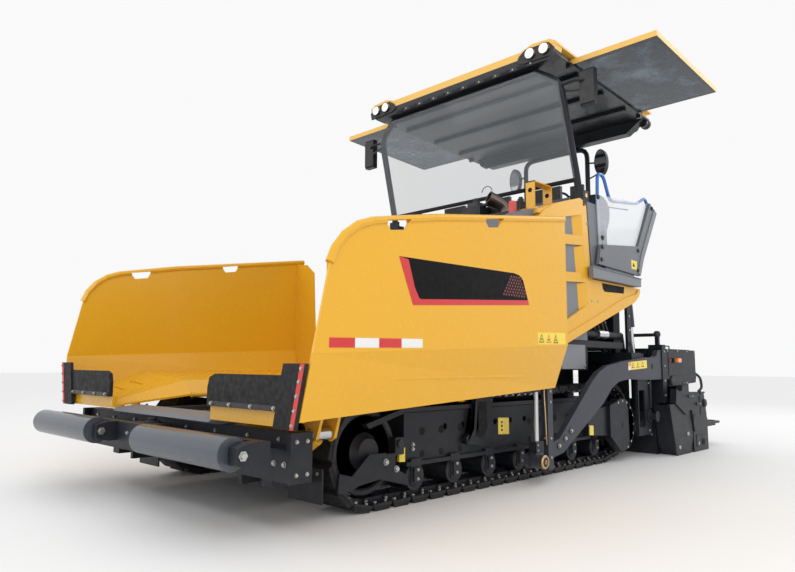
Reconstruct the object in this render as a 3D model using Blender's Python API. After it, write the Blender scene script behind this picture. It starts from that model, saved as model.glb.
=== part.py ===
"""Tracked asphalt paver: tractor, hopper, operator station, canopy and floating screed.

Metres, +Z up. +X is the machine's left side and it drives towards -Y. The origin lies on
the ground under the middle of the machine.
"""

import math

import bmesh
import bpy
from mathutils import Matrix, Vector

# ---------------------------------------------------------------- clearances
SEAT_GAP = 0.0003       # between pieces that touch
RUNNING_GAP = 0.008     # between pieces that pass each other
SIDES = (("left", 1), ("right", -1))

# ---------------------------------------------------------------- tracks
TRACK_CENTRE_X = 0.998
SHOE_WIDTH = 0.32
SHOE_COUNT = 49
SHOE_HEIGHT = 0.03
SHOE_GROOVE = 0.08
TRACK_THICKNESS = 0.072
TRACK_CHORD_SAG = 0.011   # how far a straight link cuts into the round it wraps
IDLER_Y, IDLER_Z, IDLER_WRAP = -2.17, 0.355, 0.355
DRIVE_Y, DRIVE_Z, DRIVE_WRAP = 1.014, 0.385, 0.345
REAR_ROLLER_Y, REAR_ROLLER_WRAP = 0.80, 0.17
ROLLER_COUNT = 7
ROLLER_RADIUS = 0.09
COVER_RADIUS = 0.25
TRACK_OUTER_X = TRACK_CENTRE_X + SHOE_WIDTH / 2
TRACK_INNER_X = TRACK_CENTRE_X - SHOE_WIDTH / 2

# ---------------------------------------------------------------- chassis and front
FRAME_HALF_WIDTH = 0.60
FRAME_BOTTOM = 0.30
FRAME_REAR_Y = 1.265
DECK_Z = 1.10
BEAM_HALF_WIDTH = 1.365
BEAM_FRONT_Y = -2.956
BEAM_DEPTH = 0.13
BEAM_BOTTOM, BEAM_TOP = 0.286, 0.545
FRAME_FRONT_Y = BEAM_FRONT_Y + BEAM_DEPTH + SEAT_GAP
PUSH_ROLLER_Y, PUSH_ROLLER_Z = -3.269, 0.461
PUSH_ROLLER_RADIUS = 0.085
PUSH_ROLLER_INNER_X, PUSH_ROLLER_OUTER_X = 0.340, 1.308
PUSH_PIVOT_Y = -3.05
PUSH_BAR_BACK_Y = -3.111
PUSH_BAR_LOW, PUSH_BAR_HIGH = 0.395, 0.520
PUSH_STUB_RADIUS, PUSH_SOCKET_RADIUS = 0.0243, 0.025
PUSH_STUB_REACH = 0.03

# ---------------------------------------------------------------- hopper
HOPPER_HALF_WIDTH = 1.622
HOPPER_FRONT_Y = -3.03
HOPPER_REAR_Y = -0.604
HINGE_X, HINGE_Z = 0.70, 0.655
HINGE_RADIUS = 0.02
HINGE_BRACKETS_Y = (-2.20, -1.50, -0.85)
FLOOR_KNEE_X, FLOOR_KNEE_Z = 0.835, 0.768
FLOOR_OUTER_Z = 0.835
RAMP_REAR_Y = -2.40
RAMP_FRONT_Z = 0.600
WING_SKIN = 0.014
BEND_FRONT_Z, BEND_REAR_Z = 0.953, 1.050
SILL_FRONT_X, SILL_FRONT_Z = 1.545, 0.615
SILL_REAR_X, SILL_REAR_Z = 1.505, 0.734
RIM_RADIUS = 0.024
WING_BACK_Y = -0.710
WING_LUG_Y = -2.66
WING_LUG_X, WING_LUG_Z = 1.25, 0.515
WING_CYLINDER_X, WING_CYLINDER_Z = 0.80, 0.245
WING_LUG_HALF = 0.045
WING_BAR_LOW, WING_BAR_HIGH = 0.580, 0.655
FLAP_LOW, FLAP_HIGH = 0.660, 0.845
FLAP_THICKNESS = 0.026

# ---------------------------------------------------------------- body
BODY_HALF_WIDTH = 1.25
BODY_FRONT_Y = -0.58
PANEL_THICKNESS = 0.06
HOOD_FOLD_Y, HOOD_FOLD_Z = -0.42, 2.20
HOOD_HIGH_Y, HOOD_HIGH_Z = 0.20, 2.34
COWL_TOP_Z = 2.41
PLATFORM_Z = 1.785
PLATFORM_THICKNESS = 0.085
PLATFORM_FRONT_Y = 0.510
PLATFORM_REAR_Y = 1.32
SIDE_BEAM_REAR_Y = 1.474
GUARD_X = 1.27
GUARD_THICKNESS = 0.03
GLASS_THICKNESS = 0.008

# ---------------------------------------------------------------- canopy
ROOF_FRONT_Y, ROOF_REAR_Y = 0.014, 2.055
ROOF_HALF_WIDTH = 1.213
ROOF_TOP_Z = 3.872
ROOF_SLOPE = 0.051
ROOF_SKIN = 0.026
HEADER_DEPTH = 0.13
HEADER_DROP, REAR_DROP = 0.19, 0.26
EXTENSION_OUTER_X = 1.993
EXTENSION_FRONT_Y, EXTENSION_REAR_Y = 0.372, 1.80
EXTENSION_THICKNESS = 0.052
PILLAR_X = 1.19
PILLAR_FOOT_Y, PILLAR_FOOT_Z = 0.420, 2.50
PILLAR_RADIUS = 0.034
SCREEN_LOW_Y, SCREEN_LOW_Z = 0.390, 2.62
SCREEN_KNEE_Y, SCREEN_KNEE_Z = 0.155, 3.50
HOOP_HALF_WIDTH = 0.43
HOOP_Y = 2.02

# ---------------------------------------------------------------- tow gear and screed
TOW_POST_X = 1.385
TOW_POST_HALF = 0.03
TOW_POST_FRONT_Y, TOW_POST_REAR_Y = -0.566, -0.496
TOW_POST_TOP = 0.935
TOW_ROD_X = 1.370
TOW_ROD_RADIUS, TOW_BORE_RADIUS = 0.0197, 0.0203
TOW_POINT_Y, TOW_POINT_Z = -0.663, 0.181
TOW_ROLLER_RADIUS = 0.052
TOW_PIN_RADIUS, TOW_EYE_RADIUS = 0.0243, 0.025
TOW_ARM_X = 1.285
TOW_ARM_THICKNESS = 0.05
LIFT_X = 1.10
LIFT_TOP_Y, LIFT_TOP_Z = 1.474, 1.98
LIFT_EYE_Y, LIFT_EYE_Z = 1.634, 0.97
LIFT_BARREL_LENGTH = 0.686
LIFT_BOSS = 0.10
CYLINDER_ROD_RADIUS, CYLINDER_BORE_RADIUS = 0.0229, 0.0235
HANGER_X = 1.276
SCREED_HALF_WIDTH = 1.25
SCREED_FRONT_Y = 1.765
SCREED_SPLIT_Y = 2.36
SCREED_REAR_Y = 2.70
SCREED_TOP_Z = 0.46
SCREED_POST_FRONT_Y, SCREED_POST_REAR_Y = 1.7603, 1.853
STEP_REAR_Y = 3.354
STEP_OUTER_X = 1.335
END_PLATE_X = 1.42
END_PLATE_THICKNESS = 0.02
AUGER_Y, AUGER_Z = 1.56, 0.40
AUGER_RADIUS = 0.165
AUGER_INNER_X, AUGER_OUTER_X = 0.09, 1.25

# ---------------------------------------------------------------- colours: RGB, roughness, metallic
COLOURS = {
    "yellow_paint": ((0.83, 0.47, 0.04), 0.30, 0.0),
    "dark_paint": ((0.045, 0.048, 0.058), 0.45, 0.1),
    "grey_paint": ((0.19, 0.20, 0.22), 0.45, 0.1),
    "light_grey_paint": ((0.33, 0.35, 0.39), 0.40, 0.2),
    "blue_paint": ((0.02, 0.16, 0.52), 0.35, 0.0),
    "track_steel": ((0.030, 0.032, 0.038), 0.60, 0.3),
    "bright_steel": ((0.62, 0.63, 0.65), 0.22, 1.0),
    "rubber": ((0.018, 0.018, 0.019), 0.80, 0.0),
    "glass": ((0.42, 0.46, 0.50), 0.05, 0.0),
    "seat_cover": ((0.03, 0.03, 0.032), 0.75, 0.0),
    "cast_iron": ((0.12, 0.12, 0.12), 0.70, 0.4),
}


def clear_scene():
    for thing in list(bpy.data.objects):
        bpy.data.objects.remove(thing)


def material(name):
    found = bpy.data.materials.get(name)
    if found:
        return found
    colour, roughness, metallic = COLOURS[name]
    made = bpy.data.materials.new(name)
    made.use_nodes = True
    shader = made.node_tree.nodes["Principled BSDF"]
    shader.inputs["Base Color"].default_value = (*colour, 1.0)
    shader.inputs["Roughness"].default_value = roughness
    shader.inputs["Metallic"].default_value = metallic
    made.diffuse_color = (*colour, 1.0)
    return made


# ---------------------------------------------------------------- solids
def hull_faces(rings):
    """A closed solid through rings of points, each ring as long as the next."""
    solid = bmesh.new()
    rows = [[solid.verts.new(point) for point in ring] for ring in rings]
    for near, far in zip(rows, rows[1:]):
        for i in range(len(near)):
            j = (i + 1) % len(near)
            solid.faces.new((near[i], near[j], far[j], far[i]))
    solid.faces.new(rows[0][::-1])
    solid.faces.new(rows[-1])
    bmesh.ops.triangulate(solid, faces=[f for f in solid.faces if len(f.verts) > 4])
    bmesh.ops.recalc_face_normals(solid, faces=solid.faces)
    return solid


def prism(outline, axis, low, high):
    """An outline in the plane across axis, pushed from low to high along it."""
    def place(point, height):
        a, b = point
        return {"X": (height, a, b), "Y": (a, height, b), "Z": (a, b, height)}[axis]

    return hull_faces([[place(p, low) for p in outline], [place(p, high) for p in outline]])


def box(x0, x1, y0, y1, z0, z1):
    return prism([(x0, y0), (x1, y0), (x1, y1), (x0, y1)], "Z", z0, z1)


def arc(centre, radius, start, end, steps):
    """Points on an arc, angles in degrees from the plane's first axis."""
    points = []
    for i in range(steps + 1):
        angle = math.radians(start + (end - start) * i / steps)
        points.append((centre[0] + radius * math.cos(angle), centre[1] + radius * math.sin(angle)))
    return points


def ring_at(point, direction, radius, sides):
    turn = Vector(direction).to_track_quat("Z", "Y")
    step = 2 * math.pi / sides
    corners = [Vector((math.cos(i * step), math.sin(i * step), 0)) * radius for i in range(sides)]
    return [Vector(point) + turn @ corner for corner in corners]


def rod(start, end, radius, sides=16, end_radius=None):
    direction = Vector(end) - Vector(start)
    far = radius if end_radius is None else end_radius
    return hull_faces([ring_at(start, direction, radius, sides), ring_at(end, direction, far, sides)])


def tube(points, radius, sides=8):
    """A round bar along a line of points, mitred at each of them."""
    points = [Vector(p) for p in points]
    directions = [(b - a).normalized() for a, b in zip(points, points[1:])]
    ring = ring_at(points[0], directions[0], radius, sides)
    rings = [ring]
    for i, point in enumerate(points[1:], start=1):
        along = directions[i - 1]
        across = along if i == len(points) - 1 else (along + directions[i]).normalized()
        moved = []
        for corner in rings[-1]:
            reach = (point - corner).dot(across) / along.dot(across)
            moved.append(corner + along * reach)
        rings.append(moved)
    return hull_faces(rings)


def rounded(points, radius, steps=3):
    """A line of points with its inner corners turned into arcs."""
    points = [Vector(p) for p in points]
    result = [points[0]]
    for before, corner, after in zip(points, points[1:], points[2:]):
        reach = min(radius, (before - corner).length * 0.45, (after - corner).length * 0.45)
        start = corner + (before - corner).normalized() * reach
        end = corner + (after - corner).normalized() * reach
        for i in range(steps + 1):
            t = i / steps
            result.append((1 - t) ** 2 * start + 2 * t * (1 - t) * corner + t ** 2 * end)
    result.append(points[-1])
    return result


def flipped(solid):
    """The same solid on the machine's other side."""
    bmesh.ops.transform(solid, matrix=Matrix.Scale(-1, 4, (1, 0, 0)), verts=solid.verts)
    bmesh.ops.reverse_faces(solid, faces=solid.faces)
    return solid


# ---------------------------------------------------------------- nodes
def mesh_object(name, solid, paint, pivot):
    bmesh.ops.transform(solid, matrix=Matrix.Translation(-pivot), verts=solid.verts)
    mesh = bpy.data.meshes.new(name)
    solid.to_mesh(mesh)
    solid.free()
    mesh.materials.append(material(paint))
    mesh.shade_smooth()
    mesh.set_sharp_from_angle(angle=math.radians(32))
    made = bpy.data.objects.new(name, mesh)
    made.location = pivot
    return made


def helper_group(name, solids, paint, pivot):
    group = bpy.data.collections.new(name)
    bpy.context.scene.collection.children.link(group)
    for i, solid in enumerate(solids):
        helper = mesh_object(f"{name}_{i}", solid, paint, pivot)
        helper.hide_render = True
        helper.display_type = "WIRE"
        group.objects.link(helper)
    return group


def node(name, paint, solids, cuts=(), side=1, pivot=(0, 0, 0)):
    """One sub-part: its solids joined, then its cuts taken away, with its origin at pivot."""
    pivot = Vector((pivot[0] * side, pivot[1], pivot[2]))
    if side < 0:
        solids = [flipped(solid) for solid in solids]
        cuts = [flipped(cut) for cut in cuts]
    made = mesh_object(name, solids[0], paint, pivot)
    bpy.context.scene.collection.objects.link(made)
    for operation, extras in (("UNION", solids[1:]), ("DIFFERENCE", cuts)):
        if extras:
            modifier = made.modifiers.new(operation.lower(), "BOOLEAN")
            modifier.operation = operation
            modifier.solver = "EXACT"
            modifier.operand_type = "COLLECTION"
            modifier.collection = helper_group(f"{name}_{operation.lower()}", extras, paint, pivot)
    return made


# ---------------------------------------------------------------- tracks
def wrap_circles(inset):
    """The circles that the track runs round, drawn in by inset."""
    return (
        (IDLER_Y, IDLER_Z, IDLER_WRAP - inset),
        (REAR_ROLLER_Y, REAR_ROLLER_WRAP, REAR_ROLLER_WRAP - inset),
        (DRIVE_Y, DRIVE_Z, DRIVE_WRAP - inset),
    )


def track_point(distance, inset):
    """The point that lies distance along the track's outer line, and the outward normal there."""
    circles = wrap_circles(inset)
    legs = []
    count = len(circles)
    for i in range(count):
        (y0, z0, r0), (y1, z1, r1) = circles[i], circles[(i + 1) % count]
        gap = math.hypot(y1 - y0, z1 - z0)
        heading = math.atan2(z1 - z0, y1 - y0)
        lean = math.asin((r1 - r0) / gap)
        legs.append((heading - lean, gap * math.cos(lean)))
    path = []
    for i in range(count):
        y, z, r = circles[(i + 1) % count]
        angle, length = legs[i]
        turn = (legs[(i + 1) % count][0] - angle) % (2 * math.pi)
        path.append(("run", i, angle, length))
        path.append(("arc", (i + 1) % count, angle, turn * r))
    total = sum(item[3] for item in path)
    left = distance * total
    for kind, index, angle, length in path:
        if left <= length:
            break
        left -= length
    y, z, r = circles[index]
    if kind == "run":
        normal = angle - math.pi / 2
        return (
            y + r * math.cos(normal) + left * math.cos(angle),
            z + r * math.sin(normal) + left * math.sin(angle),
            normal,
        )
    normal = angle - math.pi / 2 + left / r
    return y + r * math.cos(normal), z + r * math.sin(normal), normal


def make_tracks():
    for word, side in SIDES:
        node(f"{word}_track", "track_steel", [track_loop()], (), side)


def track_loop():
    """The whole track: one closed band, stepped out at each shoe."""
    solid = bmesh.new()
    shoes = []
    for i in range(SHOE_COUNT):
        outline = []
        for share, raised in ((SHOE_GROOVE, False), (SHOE_GROOVE, True),
                              (1 - SHOE_GROOVE, True), (1 - SHOE_GROOVE, False)):
            y, z, normal = track_point((i + share) / SHOE_COUNT, 0.0)
            drop = 0.0 if raised else SHOE_HEIGHT
            outline.append((y - drop * math.cos(normal), z - drop * math.sin(normal)))
        outline.append(track_point((i + 0.5) / SHOE_COUNT, TRACK_THICKNESS)[:2])
        near = [solid.verts.new((TRACK_INNER_X, *point)) for point in outline]
        far = [solid.verts.new((TRACK_OUTER_X, *point)) for point in outline]
        shoes.append((near, far))
    for i, (near, far) in enumerate(shoes):
        next_near, next_far = shoes[(i + 1) % SHOE_COUNT]
        for j in range(3):
            solid.faces.new((near[j], near[j + 1], far[j + 1], far[j]))
        solid.faces.new((near[3], next_near[0], next_far[0], far[3]))
        solid.faces.new((near[4], next_near[4], next_far[4], far[4]))
        for edge, ahead in ((near, next_near), (far, next_far)):
            solid.faces.new((edge[4], edge[0], edge[1], edge[2], edge[3]))
            solid.faces.new((edge[4], edge[3], ahead[0], ahead[4]))
    bmesh.ops.triangulate(solid, faces=[f for f in solid.faces if len(f.verts) > 4])
    bmesh.ops.recalc_face_normals(solid, faces=solid.faces)
    return solid


def roller_places():
    first = IDLER_Y + 0.42
    last = REAR_ROLLER_Y - 0.10
    return [first + (last - first) * i / (ROLLER_COUNT - 1) for i in range(ROLLER_COUNT)]


def make_track_frames():
    beam_low, beam_high = 0.24, 0.58
    beam_inner, beam_outer = TRACK_CENTRE_X - 0.12, TRACK_CENTRE_X + 0.105
    roller_z = TRACK_THICKNESS + SEAT_GAP + ROLLER_RADIUS
    wheel = IDLER_WRAP - TRACK_THICKNESS - TRACK_CHORD_SAG - RUNNING_GAP
    for word, side in SIDES:
        beam_front, beam_rear = IDLER_Y + 0.33, DRIVE_Y - 0.36
        solids = [box(beam_inner, beam_outer, beam_front, beam_rear, beam_low, beam_high)]
        solids.append(box(beam_inner + 0.06, beam_outer - 0.06, IDLER_Y, beam_front + 0.1, 0.30, 0.41))
        solids.append(rod((TRACK_CENTRE_X - 0.07, IDLER_Y, IDLER_Z),
                          (TRACK_CENTRE_X + 0.07, IDLER_Y, IDLER_Z), wheel, 24))
        solids.append(rod((beam_inner, IDLER_Y, IDLER_Z), (beam_outer, IDLER_Y, IDLER_Z), 0.07, 16))
        for y in roller_places():
            solids.append(rod((beam_inner + 0.02, y, roller_z), (beam_outer + 0.01, y, roller_z),
                              ROLLER_RADIUS, 12))
            solids.append(box(beam_outer - 0.05, beam_outer + 0.03, y - 0.05, y + 0.05,
                              roller_z - 0.045, beam_low + 0.04))
        for y in (-0.9, 0.30):
            solids.append(rod((beam_inner + 0.04, y, 0.585), (beam_outer - 0.02, y, 0.585), 0.05, 12))
        for y in (-1.35, 0.25):
            solids.append(box(FRAME_HALF_WIDTH + SEAT_GAP, beam_inner + 0.05,
                              y - 0.16, y + 0.16, 0.34, 0.52))
        cuts = []
        for i in range(8):
            y = beam_front + 0.42 + 0.2 * i
            cuts.append(rod((beam_outer - 0.03, y, 0.47), (beam_outer + 0.05, y, 0.47), 0.024, 10))
        node(f"{word}_track_frame", "dark_paint", solids, cuts, side)


def make_final_drives():
    teeth = 13
    reach = DRIVE_WRAP - TRACK_THICKNESS - TRACK_CHORD_SAG - RUNNING_GAP
    for word, side in SIDES:
        outline = []
        for i in range(teeth):
            start = 360 * i / teeth
            step = 360 / teeth
            outline += arc((DRIVE_Y, DRIVE_Z), reach, start - step * 0.15, start + step * 0.15, 1)
            outline += arc((DRIVE_Y, DRIVE_Z), reach - 0.05, start + step * 0.32, start + step * 0.68, 1)
        inner = TRACK_INNER_X - 0.10
        cover_x = TRACK_OUTER_X + RUNNING_GAP
        solids = [prism(outline, "X", TRACK_CENTRE_X - 0.03, TRACK_CENTRE_X + 0.03)]
        solids.append(rod((FRAME_HALF_WIDTH + SEAT_GAP, DRIVE_Y, DRIVE_Z),
                          (inner + 0.25, DRIVE_Y, DRIVE_Z), 0.17, 20))
        solids.append(rod((inner, DRIVE_Y, DRIVE_Z), (cover_x + 0.02, DRIVE_Y, DRIVE_Z), 0.13, 20))
        centre = (DRIVE_Y, DRIVE_Z - 0.045)
        cover = arc(centre, COVER_RADIUS, -62, 118, 14)
        cover += [(DRIVE_Y - 0.24, DRIVE_Z + 0.15), (DRIVE_Y - 0.24, DRIVE_Z - 0.13),
                  (DRIVE_Y - 0.02, DRIVE_Z - 0.295)]
        solids.append(prism(cover, "X", cover_x, BODY_HALF_WIDTH))
        housing = [(DRIVE_Y - 0.20, DRIVE_Z + 0.15), (DRIVE_Y - 0.60, DRIVE_Z + 0.10),
                   (DRIVE_Y - 0.60, DRIVE_Z - 0.10), (DRIVE_Y - 0.20, DRIVE_Z - 0.13)]
        solids.append(prism(housing, "X", cover_x, BODY_HALF_WIDTH - 0.03))
        node(f"{word}_final_drive", "dark_paint", solids, (), side)


# ---------------------------------------------------------------- chassis
def make_main_frame():
    w = FRAME_HALF_WIDTH
    rear = FRAME_REAR_Y
    front = BODY_FRONT_Y + 0.04
    saddle_top = HINGE_Z - HINGE_RADIUS - SEAT_GAP
    solids = [box(-w, w, FRAME_FRONT_Y, rear, FRAME_BOTTOM, FRAME_BOTTOM + 0.04)]
    cheek = [(FRAME_FRONT_Y, FRAME_BOTTOM), (rear, FRAME_BOTTOM), (rear, DECK_Z), (front, DECK_Z),
             (front, 0.545), (FRAME_FRONT_Y, 0.545)]
    tower_top = PLATFORM_Z - PLATFORM_THICKNESS - SEAT_GAP
    boss_face = LIFT_X - LIFT_BOSS / 2 - SEAT_GAP
    for side in (-1, 1):
        solids.append(prism(cheek, "X", *sorted((side * (w - 0.04), side * w))))
        solids.append(box(*sorted((side * 1.157, side * 1.184)), 1.33, 1.41, 0.97, tower_top))
        solids.append(box(*sorted((side * 0.55, side * HANGER_X)), rear - 0.06, 1.41, 0.93, 1.03))
        hanger = [(1.33, 0.97), (1.44, 0.97), (1.44, LIFT_TOP_Z - 0.14), (1.50, LIFT_TOP_Z - 0.08),
                  (1.50, LIFT_TOP_Z + 0.05), (1.33, LIFT_TOP_Z + 0.05)]
        solids.append(prism(hanger, "X", *sorted((side * (boss_face - 0.03), side * boss_face))))
        solids.append(box(*sorted((side * 0.70, side * 1.12)), 0.194, 0.624, 0.86, DECK_Z + 0.02))
        solids.append(box(*sorted((side * 0.56, side * 1.16)), front, rear, DECK_Z - 0.03, DECK_Z))
        hanger_plate = sorted((side * (HANGER_X - 0.018), side * HANGER_X))
        solids.append(box(*hanger_plate, 1.37, 1.47, 0.70, 1.02))
        for y0, y1, z0, z1 in ((1.28, 1.33, 0.22, 0.77), (1.46, 1.60, 0.22, 0.77),
                               (1.32, 1.47, 0.22, 0.30), (1.32, 1.47, 0.66, 0.77)):
            solids.append(box(*hanger_plate, y0, y1, z0, z1))
        solids.append(rod((side * (AUGER_OUTER_X + SEAT_GAP), AUGER_Y, AUGER_Z),
                          (side * HANGER_X, AUGER_Y, AUGER_Z), 0.055, 14))
        for y in HINGE_BRACKETS_Y:
            saddle = sorted((side * (w - 0.04), side * (HINGE_X + 0.025)))
            solids.append(box(*saddle, y - 0.05, y + 0.05, 0.525, saddle_top))
    solids.append(box(-1.16, 1.16, front, rear, DECK_Z, DECK_Z + 0.03))
    solids.append(box(-w, w, rear - 0.06, rear, DECK_Z - 0.20, DECK_Z))
    solids.append(box(-0.06, 0.06, rear - 0.06, AUGER_Y + 0.06, 0.32, 0.62))
    solids.append(rod((-AUGER_INNER_X + SEAT_GAP, AUGER_Y, AUGER_Z),
                      (AUGER_INNER_X - SEAT_GAP, AUGER_Y, AUGER_Z), 0.05, 14))
    node("main_frame", "dark_paint", solids)


def make_engine():
    solids = [box(-0.45, 0.45, -0.42, 0.32, DECK_Z + 0.03 + SEAT_GAP, 1.86)]
    node("engine", "cast_iron", solids)


def make_front_beam():
    rear = BEAM_FRONT_Y + BEAM_DEPTH
    flap_back = IDLER_Y - IDLER_WRAP - 0.043
    w = BEAM_HALF_WIDTH
    solids = [box(-w, w, BEAM_FRONT_Y, rear, BEAM_BOTTOM, BEAM_TOP - 0.09)]
    solids.append(box(-w, w, BEAM_FRONT_Y + 0.04, rear, BEAM_TOP - 0.12, BEAM_TOP))
    for side in (-1, 1):
        cap = sorted((side * (w - 0.02), side * (w + 0.012)))
        solids.append(box(*cap, BEAM_FRONT_Y - 0.012, rear, BEAM_BOTTOM, BEAM_TOP))
        flap = sorted((side * 0.84, side * 1.16))
        solids.append(box(*flap, flap_back - 0.012, flap_back, 0.10, 0.30))
        arm = [(rear - 0.02, 0.33), (rear - 0.02, 0.215), (flap_back - 0.002, 0.215),
               (flap_back - 0.002, 0.245), (rear, 0.245), (rear, 0.33)]
        solids.append(prism(arm, "X", *sorted((side * 0.95, side * 1.05))))
        cheek = sorted((side * 0.10, side * 0.14))
        solids.append(prism([(BEAM_FRONT_Y + 0.02, 0.33), (PUSH_PIVOT_Y - 0.05, 0.35),
                             (PUSH_PIVOT_Y - 0.05, 0.39), (BEAM_FRONT_Y + 0.02, 0.39)], "X", *cheek))
        bearing = sorted((side * (WING_CYLINDER_X - 0.09), side * (WING_CYLINDER_X + 0.05)))
        reach = WING_LUG_HALF + SEAT_GAP
        for y in (WING_LUG_Y - reach - 0.02, WING_LUG_Y + reach):
            solids.append(box(*bearing, y, y + 0.02, 0.20, 0.33))
        web = sorted((side * (WING_CYLINDER_X - 0.09), side * (WING_CYLINDER_X - 0.055)))
        solids.append(box(*web, rear - 0.02, WING_LUG_Y + 0.06, 0.20, 0.33))
    solids.append(box(-0.14, 0.14, PUSH_PIVOT_Y - 0.07, BEAM_FRONT_Y + 0.02,
                      0.345, PUSH_BAR_LOW - SEAT_GAP))
    solids.append(rod((0, PUSH_PIVOT_Y, 0.37), (0, PUSH_PIVOT_Y, 0.55), 0.028, 16))
    node("front_beam", "dark_paint", solids)


def make_apron():
    y0, y1 = HOPPER_FRONT_Y, FRAME_FRONT_Y - 0.02
    outline = [(y0, 0.562), (y0 + 0.06, BEAM_TOP + SEAT_GAP), (y1, BEAM_TOP + SEAT_GAP),
               (y1, 0.60), (y0 + 0.02, 0.585)]
    node("hopper_apron", "grey_paint", [prism(outline, "X", -0.664, 0.664)])


def make_push_bar():
    low, high = PUSH_BAR_LOW, PUSH_BAR_HIGH
    back = PUSH_BAR_BACK_Y
    solids = [box(-1.38, 1.38, back - 0.06, back, low, high)]
    for side in (-1, 1):
        outer = sorted((side * (PUSH_ROLLER_OUTER_X + 0.015), side * 1.40))
        fork = [(back, low), (back, high), (PUSH_ROLLER_Y + 0.04, high),
                (PUSH_ROLLER_Y - 0.03, PUSH_ROLLER_Z + 0.04), (PUSH_ROLLER_Y - 0.03, PUSH_ROLLER_Z - 0.045),
                (PUSH_ROLLER_Y + 0.05, low)]
        solids.append(prism(fork, "X", *outer))
        inner = sorted((side * (PUSH_ROLLER_INNER_X - 0.076), side * (PUSH_ROLLER_INNER_X - 0.015)))
        solids.append(prism(fork, "X", *inner))
        for x in (PUSH_ROLLER_INNER_X, PUSH_ROLLER_OUTER_X):
            solids.append(rod((side * (x - PUSH_STUB_REACH), PUSH_ROLLER_Y, PUSH_ROLLER_Z),
                              (side * (x + PUSH_STUB_REACH), PUSH_ROLLER_Y, PUSH_ROLLER_Z),
                              PUSH_STUB_RADIUS, 12))
    solids.append(box(-0.16, 0.16, back - 0.02, PUSH_PIVOT_Y + 0.06, low, high))
    bore = rod((0, PUSH_PIVOT_Y, low - 0.1), (0, PUSH_PIVOT_Y, high + 0.1), 0.031, 16)
    node("push_bar", "dark_paint", solids, [bore], 1, (0, PUSH_PIVOT_Y, low))


def make_push_rollers():
    depth = PUSH_STUB_REACH + 0.006
    for word, side in SIDES:
        place = (PUSH_ROLLER_Y, PUSH_ROLLER_Z)
        drum = rod((PUSH_ROLLER_INNER_X, *place), (PUSH_ROLLER_OUTER_X, *place), PUSH_ROLLER_RADIUS, 28)
        sockets = []
        for x0, x1 in ((PUSH_ROLLER_INNER_X - 0.1, PUSH_ROLLER_INNER_X + depth),
                       (PUSH_ROLLER_OUTER_X - depth, PUSH_ROLLER_OUTER_X + 0.1)):
            sockets.append(rod((x0, *place), (x1, *place), PUSH_SOCKET_RADIUS, 24))
        node(f"{word}_push_roller", "light_grey_paint", [drum], sockets, side,
             ((PUSH_ROLLER_INNER_X + PUSH_ROLLER_OUTER_X) / 2, *place))


# ---------------------------------------------------------------- hopper
def make_conveyor():
    w = FRAME_HALF_WIDTH - 0.04 - SEAT_GAP
    low = FRAME_BOTTOM + 0.04 + SEAT_GAP
    front, rear = FRAME_FRONT_Y + 0.01, FRAME_REAR_Y - 0.07
    solids = [box(-w, w, front, rear, low, 0.50)]
    for x0, x1 in ((-w, -w + 0.05), (-0.03, 0.03), (w - 0.05, w)):
        solids.append(box(x0, x1, front, rear, 0.49, 0.58))
    bars = 12
    for i in range(bars):
        y = front + 0.12 + (rear - front - 0.24) * i / (bars - 1)
        solids.append(box(-w + 0.02, w - 0.02, y - 0.025, y + 0.025, 0.48, 0.53))
    node("conveyor_floor", "bright_steel", solids)


def make_rear_wall():
    front = HOPPER_REAR_Y + 0.012
    w = 1.22
    over_track, low = 0.80, 0.585
    edge, tunnel = FRAME_HALF_WIDTH + 0.02, 0.52
    half = [(tunnel, DECK_Z - 0.04), (tunnel, low), (edge, low), (edge, over_track), (w, over_track),
            (w, 1.80)]
    outline = half + [(-x, z) for x, z in half[::-1]]
    solids = [prism(outline, "Y", front, front + 0.012)]
    solids.append(box(-w, w, front - 0.004, front + 0.006, 1.77, 1.785))
    for x in (-0.75, 0.75):
        solids.append(box(x - 0.02, x + 0.02, front - 0.004, front + 0.006, 1.15, 1.78))
    node("hopper_rear_wall", "yellow_paint", solids)


def rim_line():
    """The wing's upper edge from its front corner back, as (Y, Z)."""
    front = HOPPER_FRONT_Y
    return [(front + 0.10, 1.42), (front + 0.135, 1.50), (front + 0.20, 1.578), (front + 0.295, 1.644),
            (front + 0.40, 1.682), (front + 0.93, 1.786), (HOPPER_REAR_Y - 0.022, 2.013)]


def plate(rows, shift):
    """A bent plate: rows of points on its face, and the same points moved by shift."""
    shift = Vector(shift)
    solid = bmesh.new()
    near = [[solid.verts.new(Vector(p)) for p in row] for row in rows]
    far = [[solid.verts.new(Vector(p) + shift) for p in row] for row in rows]
    last_row, last = len(rows) - 1, len(rows[0]) - 1
    for i in range(last_row):
        for j in range(last):
            for grid in (near, far):
                solid.faces.new((grid[i][j], grid[i][j + 1], grid[i + 1][j + 1], grid[i + 1][j]))
    rim = [(0, j) for j in range(last)] + [(i, last) for i in range(last_row)]
    rim += [(last_row, last - j) for j in range(last)] + [(last_row - i, 0) for i in range(last_row)]
    for (i0, j0), (i1, j1) in zip(rim, rim[1:] + rim[:1]):
        solid.faces.new((near[i0][j0], near[i1][j1], far[i1][j1], far[i0][j0]))
    bmesh.ops.triangulate(solid, faces=solid.faces)
    bmesh.ops.recalc_face_normals(solid, faces=solid.faces)
    return solid


def skin_x(y, z):
    """How far out the wing's slanted lower skin stands."""
    share = (y - HOPPER_FRONT_Y) / (HOPPER_REAR_Y - HOPPER_FRONT_Y)
    sill_x = SILL_FRONT_X + (SILL_REAR_X - SILL_FRONT_X) * share
    sill_z = SILL_FRONT_Z + (SILL_REAR_Z - SILL_FRONT_Z) * share
    bend_z = BEND_FRONT_Z + (BEND_REAR_Z - BEND_FRONT_Z) * share
    return sill_x + (HOPPER_HALF_WIDTH - sill_x) * (z - sill_z) / (bend_z - sill_z)


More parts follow.
